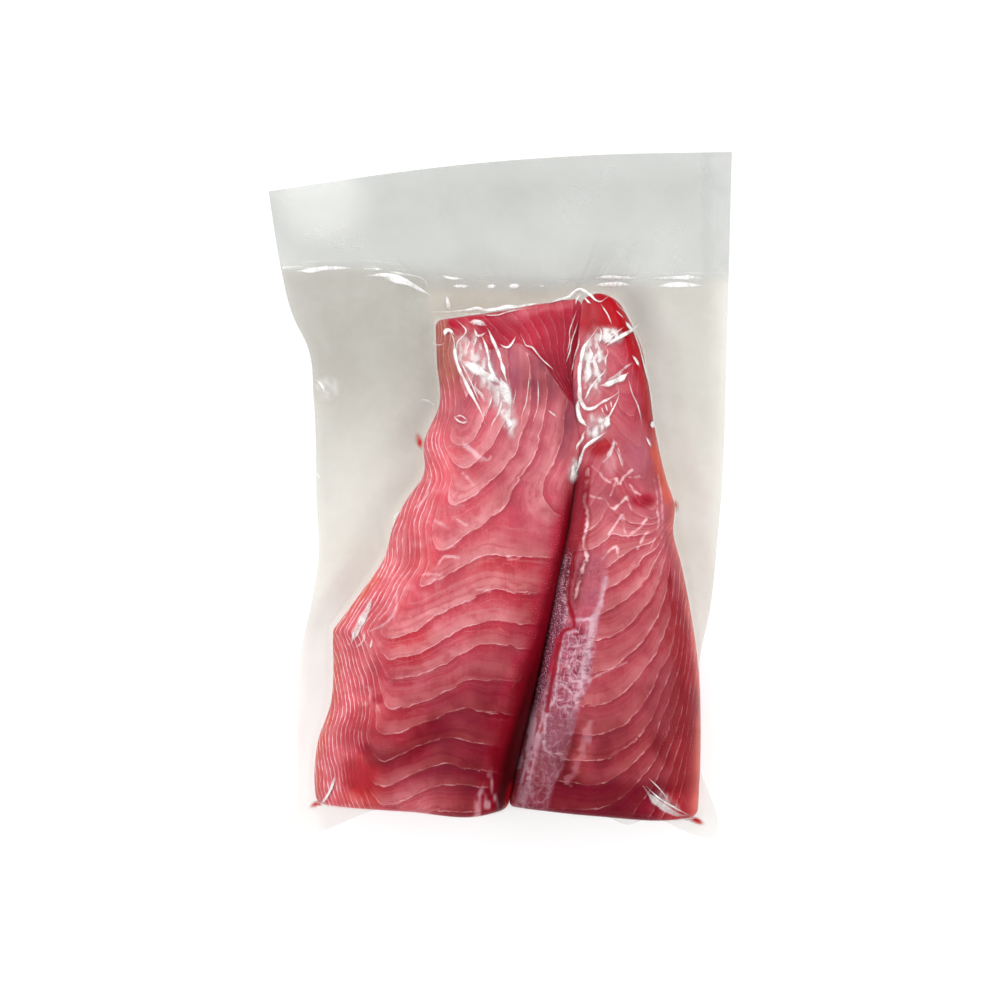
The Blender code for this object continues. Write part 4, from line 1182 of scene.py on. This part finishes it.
class Paint:
    """A new material and the nodes in it."""

    def __init__(self, name):
        self.material = bpy.data.materials.new(name)
        self.material.use_nodes = True
        self.tree = self.material.node_tree
        self.tree.nodes.clear()

    def node(self, kind, settings, inputs, output=0):
        """Adds a node, with its settings first and then the values or links of its sockets."""
        made = self.tree.nodes.new("ShaderNode" + kind)
        for key, value in settings.items():
            setattr(made, key, value)
        for key, value in inputs.items():
            if isinstance(value, Wire):
                self.tree.links.new(value.socket, made.inputs[key])
            elif made.inputs[key].type == "RGBA":
                made.inputs[key].default_value = (*value, 1.0)
            else:
                made.inputs[key].default_value = value
        return Wire(self, made.outputs[output])

    def value(self, name):
        return self.node("Attribute", {"attribute_name": name}, {}, "Fac")

    def colour(self, name):
        return self.node("Attribute", {"attribute_name": name}, {}, "Color")

    def place(self):
        """Where the point is in the object, in millimetres."""
        metres = self.node("TexCoord", {}, {}, "Object")
        return self.node("VectorMath", {"operation": "SCALE"}, {0: metres, "Scale": 1 / MM})

    def vector(self, operation, one, other):
        return self.node("VectorMath", {"operation": operation}, {0: one, 1: other})

    def stretch(self, vector, across, along, up=1.0):
        return self.vector("MULTIPLY", vector, (across, along, up))

    def noise(self, vector, size, detail=2.0):
        """Random values about 0.5, with features about that size."""
        return self.node("TexNoise", {}, {"Vector": vector, "Scale": 1 / size, "Detail": detail})

    def layered(self, base, *layers):
        """A colour with others mixed over it one by one, each given as its share and the colour."""
        settings = {"data_type": "RGBA", "clamp_factor": True}
        for share, other in layers:
            base = self.node("Mix", settings, {0: share, 6: base, 7: other}, 2)
        return base

    def bump(self, height, strength, distance):
        return self.node("Bump", {}, {"Height": height, "Strength": strength, "Distance": distance})

    def surface(self, shader):
        output = self.tree.nodes.new("ShaderNodeOutputMaterial")
        self.tree.links.new(shader.socket, output.inputs["Surface"])
        return self.material


def flesh_material(name, look, tissue):
    """Raw flesh: flakes with ragged pale edges, dark seams painted as the shadow below each proud edge,
    painted light on that edge, fine streaks and a moist surface.
    """
    paint = Paint(name)
    place = paint.place()
    pitch = paint.value("pitch")
    strength = paint.value("edge")
    fine = pitch.between(0.15, 0.45)
    torn = paint.node("TexVoronoi", {}, {"Vector": place, "Scale": 1 / 4.0}, "Color")
    torn = (torn - 0.5) * paint.noise(place, 11.0, 1.0).between(0.52, 0.64, 0.05, 1.6)
    ragged = (paint.noise(place, 3.5, 2.0) - 0.5) * 1.2 + (paint.noise(place, 0.9, 2.0) - 0.5) * 0.35
    ragged = (ragged + torn) * (1 - fine * 0.6)
    number = paint.value("flake") + ragged * pitch
    share = number.math("FRACT")
    above = share / pitch
    below = (1 - share) / pitch
    broken = paint.noise(place, 7.0, 2.0).between(0.38, 0.58, 0.2, 1.0)
    thick = paint.noise(place, 2.6, 1.0).between(0.3, 0.75, 0.35, 0.95) * (1 - fine * 0.4)
    line = (1 - (above / thick).between(0.35, 1.0)) * broken
    line = line.math("MAXIMUM", (1 - below.between(0.0, 0.12)) * broken)
    second = number * 3.0 + paint.noise(place, 9.0, 1.0) * 2.0
    second = second.math("FRACT") / (pitch * 3.0)
    second = (1 - second.between(0.1, 0.4)) * paint.noise(place, 5.0, 2.0).between(0.46, 0.62) * (1 - fine)
    # Painted shadow below each proud flake edge.
    seam = ((1 - below.between(0.0, 3.0)) * 0.5 + share * 0.5) * (1 - fine * 0.35)
    # Paler towards each proud flake edge: painted light on it.
    pale = (1 - share.between(0.0, 0.8)) * (1 - fine)
    fibre_place = paint.node("CombineXYZ", {}, {0: number * 8.0, 1: above * 0.05, 2: 0.0})
    fibre = paint.noise(paint.vector("ADD", fibre_place, paint.stretch(place, 0.06, 0.06, 0.06)), 1.0, 3.0)
    comb = paint.noise(paint.stretch(place, 1.0, 0.2, 0.3), 1.5, 2.0)
    mottle = paint.noise(place, 6.0, 3.0)
    grain = paint.noise(place, 0.8, 4.0)
    base = paint.colour("tone")
    darker = paint.vector("MULTIPLY", base, look.seam_shadow_tint)
    red = paint.node("SeparateColor", {}, {"Color": base}, "Red")
    rest = red ** 2.0
    lighter, crest = (
        paint.node("CombineXYZ", {}, {0: red * tint[0], 1: rest * tint[1], 2: rest * tint[2]})
        for tint in (look.pale_tint, look.crest_tint))
    white = paint.noise(place, 5.0, 2.0).between(0.42, 0.62) * 0.45
    shown = paint.layered(
        base,
        (seam * strength, darker),
        (pale * strength * 0.9, lighter),
        (mottle.between(0.5, 0.66) * 0.42, darker),
        (mottle.between(0.48, 0.32) * strength * 0.25, lighter),
        (fibre.between(0.52, 0.7) * strength * 0.4, lighter),
        (fibre.between(0.48, 0.3) * 0.5, darker),
        (comb.between(0.54, 0.74) * strength * 0.12, lighter),
        (comb.between(0.46, 0.26) * 0.2, darker),
        (grain.between(0.54, 0.76) * strength * 0.2, lighter),
        (grain.between(0.46, 0.24) * 0.2, darker),
        (second * strength * 0.45, lighter))
    if tissue:
        shown = tissue_over(paint, place, shown, look)
    shown = paint.layered(shown, (line * strength * look.line_strength,
                                  paint.layered(crest, (white, look.flake_edge))))
    height = grain * 0.35 + line * 0.35 + fibre * 0.4
    inputs = {
        "Base Color": shown,
        "Roughness": grain.between(0.3, 0.7, 0.28, 0.44),
        "Specular IOR Level": 0.04,
        "Normal": paint.bump(height, 0.6, 0.0003),
    }
    return paint.surface(paint.node("BsdfPrincipled", {}, inputs))


def tissue_over(paint, place, shown, look):
    """White tissue over the flesh: cells between pale strands, and a dark speckled edge."""
    cells, specks = paint.value("cells"), paint.value("specks")
    bent = (paint.noise(place, 3.0, 2.0) - 0.5) * 2.0
    bent = paint.node("CombineXYZ", {}, {0: bent, 1: bent, 2: 0.0})
    shifted = paint.vector("ADD", paint.stretch(place, 1.0, 0.5), bent)
    wall = paint.node("TexVoronoi", {"feature": "DISTANCE_TO_EDGE"}, {
        "Vector": shifted, "Scale": 1 / 2.6}, "Distance")
    wall = (1 - wall.between(0.02, 0.13)) * paint.noise(place, 2.2, 2.0).between(0.36, 0.6, 0.1, 1.0)
    cloud = paint.noise(paint.stretch(place, 0.6, 1.3), 1.9, 4.0)
    dots = paint.noise(place, 0.75, 2.0)
    return paint.layered(
        shown,
        (wall * cells * 0.7, look.tissue_pale),
        (cloud.between(0.5, 0.62) * cells * 0.3, look.tissue_pale),
        (cloud.between(0.48, 0.36) * cells * 0.4, look.dusk),
        (dots.between(0.48, 0.38) * specks * 0.9, look.dusk),
        (dots.between(0.56, 0.66) * specks * 0.75, look.tissue_pale))


def film_material(name, look):
    """Clear film: milky where two plies lie on each other, white where a painted glare lies on it, and
    glossy.
    """
    paint = Paint(name)
    place = paint.place()
    soft = paint.noise(place, 16.0, 2.0)
    fine = paint.noise(place, 1.3, 2.0)
    milk = paint.value("milk") * soft.between(0.3, 0.7, 0.94, 1.06)
    normal = paint.bump(soft * 0.6 + fine * 0.05, 0.6, 0.0006)
    body = paint.node("BsdfPrincipled", {}, {
        "Base Color": paint.colour("tint"),
        "Roughness": 0.45,
        "Specular IOR Level": 0.0,
        "Alpha": milk,
        "Normal": normal,
    })
    gloss = paint.node("BsdfAnisotropic", {}, {"Color": (1.0, 1.0, 1.0), "Roughness": look.gloss_rough,
                                               "Normal": normal})
    facing = paint.node("LayerWeight", {}, {"Blend": 0.5, "Normal": normal}, "Facing")
    share = facing ** 5.0 * 0.25 + look.gloss
    return paint.surface(paint.node("MixShader", {}, {0: share, 1: body, 2: gloss}))


def ridge_material(name, look, most, dash_size):
    """Film with a painted white highlight along a ridge, broken up unevenly, and glossy there."""
    paint = Paint(name)
    place = paint.place()
    dash = paint.noise(paint.stretch(place, 1.0, 0.3), dash_size, 2.0).between(0.32, 0.52, 0.6, 1.0)
    fine = paint.noise(place, 0.7, 2.0).between(0.3, 0.7, 0.75, 1.15)
    rib = paint.value("rib")
    body = paint.node("BsdfPrincipled", {}, {
        "Base Color": (1.0, 1.0, 0.99),
        "Roughness": 0.3,
        "Specular IOR Level": 0.0,
        "Alpha": rib * dash * fine * most,
    })
    gloss = paint.node("BsdfAnisotropic", {}, {"Roughness": look.gloss_rough})
    share = paint.node("LayerWeight", {}, {"Blend": 0.5}, "Facing") ** 5.0 * 0.3 + 0.04
    return paint.surface(paint.node("MixShader", {}, {0: share * rib, 1: body, 2: gloss}))


def floor_material(colour, glow):
    paint = Paint("pale_floor")
    grain = paint.noise(paint.place(), 60.0, 2.0)
    shown = paint.layered(colour, (grain.between(0.3, 0.7) * 0.02, (1.0, 1.0, 1.0)))
    return paint.surface(paint.node("BsdfPrincipled", {}, {
        "Base Color": shown, "Roughness": 0.9, "Specular IOR Level": 0.1,
        "Emission Color": (1.0, 1.0, 1.0), "Emission Strength": glow}))


def woven(name, points, values):
    """A grid primitive shaped into a table of points, with named values on them."""
    rows, columns = points.shape[:2]
    bpy.ops.object.select_all(action="DESELECT")
    bpy.ops.mesh.primitive_grid_add(x_subdivisions=columns - 1, y_subdivisions=rows - 1, size=2)
    piece = bpy.context.object
    piece.name = piece.data.name = name
    mesh = piece.data
    if len(mesh.vertices) != rows * columns:
        raise RuntimeError("the grid for " + name + " has another count of points")
    start = np.empty(len(mesh.vertices) * 3)
    mesh.vertices.foreach_get("co", start)
    start = start.reshape(-1, 3)
    column = np.rint((start[:, 0] + 1) / 2 * (columns - 1)).astype(int)
    row = np.rint((start[:, 1] + 1) / 2 * (rows - 1)).astype(int)
    mesh.vertices.foreach_set("co", (points[row, column] * MM).ravel())
    for key, table in values.items():
        picked = table[row, column]
        if picked.ndim == 2:
            layer = mesh.attributes.new(key, "FLOAT_COLOR", "POINT")
            layer.data.foreach_set("color", np.column_stack([picked, np.ones(len(picked))]).ravel())
        else:
            layer = mesh.attributes.new(key, "FLOAT", "POINT")
            layer.data.foreach_set("value", picked.astype(float))
    mesh.update()
    return piece


def sew(piece):
    """Merges points that lie on each other, closes what is open and turns the faces outwards."""
    bpy.ops.object.select_all(action="DESELECT")
    piece.select_set(True)
    bpy.context.view_layer.objects.active = piece
    bpy.ops.object.mode_set(mode="EDIT")
    bpy.ops.mesh.select_all(action="SELECT")
    bpy.ops.mesh.remove_doubles(threshold=1e-7)
    bpy.ops.mesh.select_all(action="DESELECT")
    bpy.ops.mesh.select_mode(type="EDGE")
    bpy.ops.mesh.select_non_manifold(extend=False, use_wire=False, use_multi_face=False,
                                     use_non_contiguous=False, use_verts=False)
    bpy.ops.mesh.fill_holes(sides=0)
    bpy.ops.mesh.select_mode(type="VERT")
    bpy.ops.mesh.select_all(action="SELECT")
    bpy.ops.mesh.normals_make_consistent(inside=False)
    bpy.ops.mesh.select_all(action="DESELECT")
    bpy.ops.object.mode_set(mode="OBJECT")
    bpy.ops.object.shade_smooth_by_angle(angle=math.radians(70))


def weld(name, parts):
    """One piece from several."""
    bpy.ops.object.select_all(action="DESELECT")
    for part in parts:
        part.select_set(True)
    bpy.context.view_layer.objects.active = parts[0]
    bpy.ops.object.join()
    piece = bpy.context.object
    piece.name = piece.data.name = name
    sew(piece)
    return piece


def dress(piece, material, node):
    """Gives a piece its material and its place in the frame."""
    piece.data.materials.clear()
    piece.data.materials.append(material)
    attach(piece, "root")
    if node:
        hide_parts(node)


def number_property(name, description, default, **limits):
    return bpy.props.FloatProperty(name=name, description=description, default=default, min=0.0, **limits)


def tint_property(name, description, default):
    return bpy.props.FloatVectorProperty(name=name, description=description, default=default, size=3,
                                         min=0.0, soft_max=2.0)


def colour_property(name, description, default):
    return bpy.props.FloatVectorProperty(name=name, description=description, default=default,
                                         subtype="COLOR", size=3, min=0.0, max=1.0)


class FishLook(bpy.types.PropertyGroup):
    """Sizes and colours of the fish."""

    columns: bpy.props.IntProperty(name="Columns", description="Points across the top of a piece",
                                   default=186, min=20)
    rows: bpy.props.IntProperty(name="Rows", description="Points along a piece", default=372, min=40)
    flake_step: number_property("Flake step", "How far the edge of a flake stands proud", 0.00025,
                                unit="LENGTH")
    line_strength: number_property("Line strength", "How clearly the pale edges of the flakes show",
                                   1.0, max=1.0)
    flesh: colour_property("Flesh", "Middle of the wide piece", shade(186, 76, 92))
    flesh_upper: colour_property("Upper flesh", "Wide piece towards its tail", shade(210, 110, 120))
    # Deep flesh is the flesh's own dark red, and is also used as painted shade towards the foot and along
    # a band near it.
    flesh_deep: colour_property("Deep flesh", "Both pieces towards the foot", shade(118, 18, 40))
    flesh_right: colour_property("Right flesh", "Middle of the narrow piece", shade(180, 78, 88))
    flesh_dusky: colour_property("Dusky flesh", "Narrow piece towards its tail", shade(190, 98, 108))
    flank: colour_property("Flank", "Outer side of the wide piece", shade(218, 100, 108))
    # Right flank is partly painted shade on the side of the narrow piece turned from the light.
    flank_right: colour_property("Right flank", "Outer side of the narrow piece", shade(150, 26, 36))
    bare: colour_property("Bare flesh", "Saturated patches of the outer side", shade(184, 50, 68))
    flank_tan: colour_property("Tan flank", "Outer side at the tail", shade(174, 108, 92))
    rim: colour_property("Rim", "Thin orange-red edge of the flesh", shade(214, 84, 62))
    cut_face: colour_property("Cut face", "Sloping cut at the tail", shade(172, 33, 57))
    # Groove, Groove wall and Groove side are mostly painted shade in and beside the groove between the
    # pieces; Groove side and Groove wall also darken a few places of the flesh and tissue away from it.
    groove: colour_property("Groove", "Between the two pieces", shade(66, 0, 6))
    groove_mid: colour_property("Groove wall", "Flesh that faces the groove", shade(122, 2, 24))
    groove_red: colour_property("Groove side", "Where the flesh turns down", shade(170, 26, 54))
    tissue: colour_property("Tissue", "Mauve tissue", shade(164, 92, 112))
    membrane: colour_property("Membrane", "Thin tissue over flesh", shade(176, 90, 106))
    tissue_pale: colour_property("Pale tissue", "White strands", shade(214, 174, 186))
    tissue_dull: colour_property("Dull tissue", "Smooth tissue at the foot", shade(140, 76, 90))
    tissue_grey: colour_property("Grey tissue", "Strip beside the groove", shade(124, 72, 92))
    dusk: colour_property("Dark tissue", "Dark edge of the tissue", shade(100, 34, 52))
    vein: colour_property("Vein", "Red vein in the tissue", shade(150, 14, 40))
    blood: colour_property("Blood", "Wet red edges", shade(172, 10, 26))
    seam_shadow_tint: colour_property("Seam", "How a seam darkens the flesh", (0.76, 0.52, 0.60))
    pale_tint: tint_property("Pale flesh", "Front of a flake, for each part of red in it",
                             (1.1, 0.70, 0.74))
    crest_tint: tint_property("Flake edge", "Pale edge of a flake, for each part of red in it",
                              (1.28, 1.05, 1.15))
    flake_edge: colour_property("Frayed edge", "Pale frayed tissue", shade(236, 178, 184))
    white_edge: colour_property("White edge", "Torn white edges", shade(244, 206, 208))


class FilmLook(bpy.types.PropertyGroup):
    """Sizes and colours of the film."""

    milk_free: number_property("Milkiness", "How much one free ply hides", 0.30, max=1.0)
    milk_tight: number_property("Milkiness on the fish", "How much the ply on the fish hides", 0.0,
                                max=1.0)
    gloss: number_property("Gloss", "How much the film mirrors where it is seen straight on", 0.002,
                           max=1.0)
    gloss_rough: number_property("Gloss roughness", "Roughness of the gloss", 0.12, max=1.0)
    film_cream: colour_property("Cream film", "Film round the fish", shade(206, 202, 186))
    film_dull: colour_property("Dull film", "Film round the tail", shade(166, 163, 150))
    film_pale: colour_property("Pale film", "Film towards its edges", shade(236, 235, 230))
    film_grey: colour_property("Grey film", "Film of the header", shade(190, 193, 188))
    film_juice: colour_property("Moist film", "Film close to the fish", shade(214, 190, 160))
    blood: colour_property("Blood", "Blood under the film", shade(206, 44, 48))


class StageLook(bpy.types.PropertyGroup):
    """Floor, lights and camera."""

    floor: colour_property("Floor", "Colour of the floor", (0.5, 0.5, 0.5))
    glow: number_property("Floor glow", "Light from the floor itself, which lightens its shadows", 0.6)
    world: number_property("Room light", "Even light from all sides", 0.2)
    key_power: number_property("Window light", "Small low light from the tail side", 5.0, unit="POWER")
    panel_power: number_property("Panel light", "Large soft lights on all sides", 9.0, unit="POWER")
    view_width: number_property("View width", "Width that the camera sees on the table", 0.431,
                                unit="LENGTH")
    view_height: number_property("View height", "Height of the camera", VIEW_HEIGHT * MM, unit="LENGTH")


class TUNA_OT_stage(bpy.types.Operator):
    """Adds the floor, the room light, the lamps and the camera"""

    bl_idname = "tuna.stage"
    bl_label = "Stage"

    def lamp(self, name, place, size, power):
        bpy.ops.object.light_add(type="AREA", location=place)
        lamp = bpy.context.object
        lamp.name = name
        lamp.data.shape = "RECTANGLE"
        lamp.data.size, lamp.data.size_y = size
        lamp.data.energy = power
        reach = math.hypot(place[0], place[1])
        lamp.rotation_euler = (math.atan2(reach, place[2]), 0.0, math.atan2(place[0], -place[1]))

    def execute(self, context):
        look = context.scene.tuna_stage
        bpy.ops.object.select_all(action="DESELECT")
        bpy.ops.mesh.primitive_plane_add(size=4.0, location=(0, 0, -0.0003))
        floor = context.object
        floor.name = "floor"
        bpy.ops.object.transform_apply(location=True)
        floor.data.materials.append(floor_material(look.floor, look.glow))
        world = bpy.data.worlds.new("room")
        context.scene.world = world
        world.use_nodes = True
        background = world.node_tree.nodes["Background"]
        background.inputs["Strength"].default_value = look.world
        background.inputs["Color"].default_value = (1.0, 1.0, 1.0, 1.0)
        self.lamp("window", (-0.35, 1.15, 0.62), (0.45, 0.3), look.key_power)
        self.lamp("tail_panel", (0.0, 1.2, 0.95), (1.4, 0.8), 1.2 * look.panel_power)
        self.lamp("left_panel", (-1.2, 0.0, 0.9), (0.9, 1.2), 1.1 * look.panel_power)
        self.lamp("right_panel", (1.2, 0.1, 0.9), (0.9, 1.2), 0.95 * look.panel_power)
        self.lamp("foot_panel", (0.1, -1.2, 0.9), (1.2, 0.8), 0.95 * look.panel_power)
        bpy.ops.object.camera_add(location=(*PICTURE_MIDDLE, look.view_height))
        camera = context.object
        camera.name = "camera"
        camera.data.sensor_width = SENSOR
        camera.data.lens = SENSOR * (look.view_height - VIEW_PLANE * MM) / look.view_width
        context.scene.camera = camera
        context.scene.view_settings.view_transform = "Standard"
        return {"FINISHED"}


class TUNA_OT_fish(bpy.types.Operator):
    """Builds one piece of loin: its flakes, its cut ends and its colours"""

    bl_idname = "tuna.fish"
    bl_label = "Piece of loin"

    piece: bpy.props.EnumProperty(name="Piece", description="Which piece of loin to build",
                                  items=[("WIDE", "Wide", "The left piece"),
                                         ("NARROW", "Narrow", "The right piece")])

    def execute(self, context):
        look = context.scene.tuna_fish
        wide = self.piece == "WIDE"
        loin = WIDE if wide else NARROW
        columns = look.columns if wide else int(look.columns * 0.8)
        rows = look.rows if wide else int(look.rows * 1.3)
        points = loin_points(loin, columns, rows, look.flake_step / MM)
        x, y = points[..., 0], points[..., 1]
        tone, edge = (paint_wide if wide else paint_narrow)(x, y, look)
        values = {"tone": np.clip(tone, 0.0, 1.0), "edge": np.clip(edge, 0.0, 1.0),
                  "flake": loin.flake(x, y), "pitch": np.clip(loin.pitch(x, y), 0.03, 1.5)}
        if not wide:
            values["cells"], values["specks"] = tissue_masks(x, y)
        name = "loin_wide" if wide else "loin_narrow"
        piece = woven(name + "_flesh", points, values)
        sew(piece)
        dress(piece, flesh_material(name + "_flesh", look, not wide), name)
        return {"FINISHED"}


class TUNA_OT_film(bpy.types.Operator):
    """Builds the clear pouch, drawn down on the fish, with its creases and juice"""

    bl_idname = "tuna.film"
    bl_label = "Film"

    def execute(self, context):
        look = context.scene.tuna_film
        cap = film_cap(context.scene.tuna_fish.flake_step / MM)
        skirt = film_skirt(cap)
        ring = np.arange(skirt.shape[0])[:, None] * np.ones(skirt.shape[1])
        share_out = np.clip(1.5 * ring / WALL_RINGS, 0, 1) ** 1.2
        front = ring < WALL_RINGS + FLANGE_RINGS
        # Whiteness of the pockets: milky haze with a painted glare.
        raised, white = crease_film(skirt)
        skirt = np.where(front[..., None], raised, skirt)
        white = np.where(front, white, 0.0)
        cap, cap_glare = crease_film(cap)
        parts = []
        for points, out, marks in ((cap, np.zeros(cap.shape[:2]), cap_glare), (skirt, share_out, white)):
            milk, tint = tint_film(points, marks, out, look)
            parts.append(woven("film", points, {"milk": milk, "tint": tint}))
        piece = weld("film_pouch", parts)
        dress(piece, film_material("clear_film", look), "pouch")
        return {"FINISHED"}


class TUNA_OT_seal(bpy.types.Operator):
    """Builds the heat seal across the pouch"""

    bl_idname = "tuna.seal"
    bl_label = "Heat seal"

    def execute(self, context):
        points = seal_points()
        raised = points[..., 2] - points[..., 2].min(axis=1, keepdims=True)
        rib = ease(0.12, 0.24, raised)
        piece = woven("seal_band", points, {"rib": rib})
        sew(piece)
        # The ribs of the seal show painted white highlights, broken into dashes.
        dress(piece, ridge_material("heat_seal", context.scene.tuna_film, 0.2, 13.0), None)
        return {"FINISHED"}


class TUNA_OT_folds(bpy.types.Operator):
    """Builds the sharp folds that the vacuum draws in the film"""

    bl_idname = "tuna.folds"
    bl_label = "Film folds"

    def execute(self, context):
        film = bpy.data.objects.get("film_pouch")
        if film is None:
            raise RuntimeError("the folds lie on the film, which comes first")
        context.view_layer.update()
        parts = []
        for fold in FOLDS:
            points, shown = fold_points(film, *fold)
            parts.append(woven("fold", points, {"rib": shown}))
        piece = weld("film_folds", parts)
        dress(piece, ridge_material("film_fold", context.scene.tuna_film, 1.0, 3.0), None)
        return {"FINISHED"}


class TUNA_PT_panel(bpy.types.Panel):
    """Lists the pieces of the pack in the sidebar"""

    bl_idname = "TUNA_PT_panel"
    bl_label = "Tuna Pack"
    bl_space_type = "VIEW_3D"
    bl_region_type = "UI"
    bl_category = "Tuna Pack"

    def draw(self, context):
        layout = self.layout
        layout.operator("tuna.stage")
        layout.operator("tuna.fish", text="Wide piece").piece = "WIDE"
        layout.operator("tuna.fish", text="Narrow piece").piece = "NARROW"
        layout.operator("tuna.film")
        layout.operator("tuna.seal")
        layout.operator("tuna.folds")
        for group in (context.scene.tuna_fish, context.scene.tuna_film, context.scene.tuna_stage):
            box = layout.box()
            for key in group.bl_rna.properties.keys():
                if key not in ("rna_type", "name"):
                    box.prop(group, key)


CLASSES = (FishLook, FilmLook, StageLook, TUNA_OT_stage, TUNA_OT_fish, TUNA_OT_film, TUNA_OT_seal,
           TUNA_OT_folds, TUNA_PT_panel)


def register():
    for cls in CLASSES:
        bpy.utils.register_class(cls)
    bpy.types.Scene.tuna_fish = bpy.props.PointerProperty(type=FishLook)
    bpy.types.Scene.tuna_film = bpy.props.PointerProperty(type=FilmLook)
    bpy.types.Scene.tuna_stage = bpy.props.PointerProperty(type=StageLook)


def unregister():
    del bpy.types.Scene.tuna_fish
    del bpy.types.Scene.tuna_film
    del bpy.types.Scene.tuna_stage
    for cls in reversed(CLASSES):
        bpy.utils.unregister_class(cls)


def main():
    register()
    bpy.ops.tuna.stage()
    bpy.ops.tuna.fish(piece="WIDE")
    bpy.ops.tuna.fish(piece="NARROW")
    bpy.ops.tuna.film()
    bpy.ops.tuna.seal()
    bpy.ops.tuna.folds()


if __name__ == "__main__":
    main()
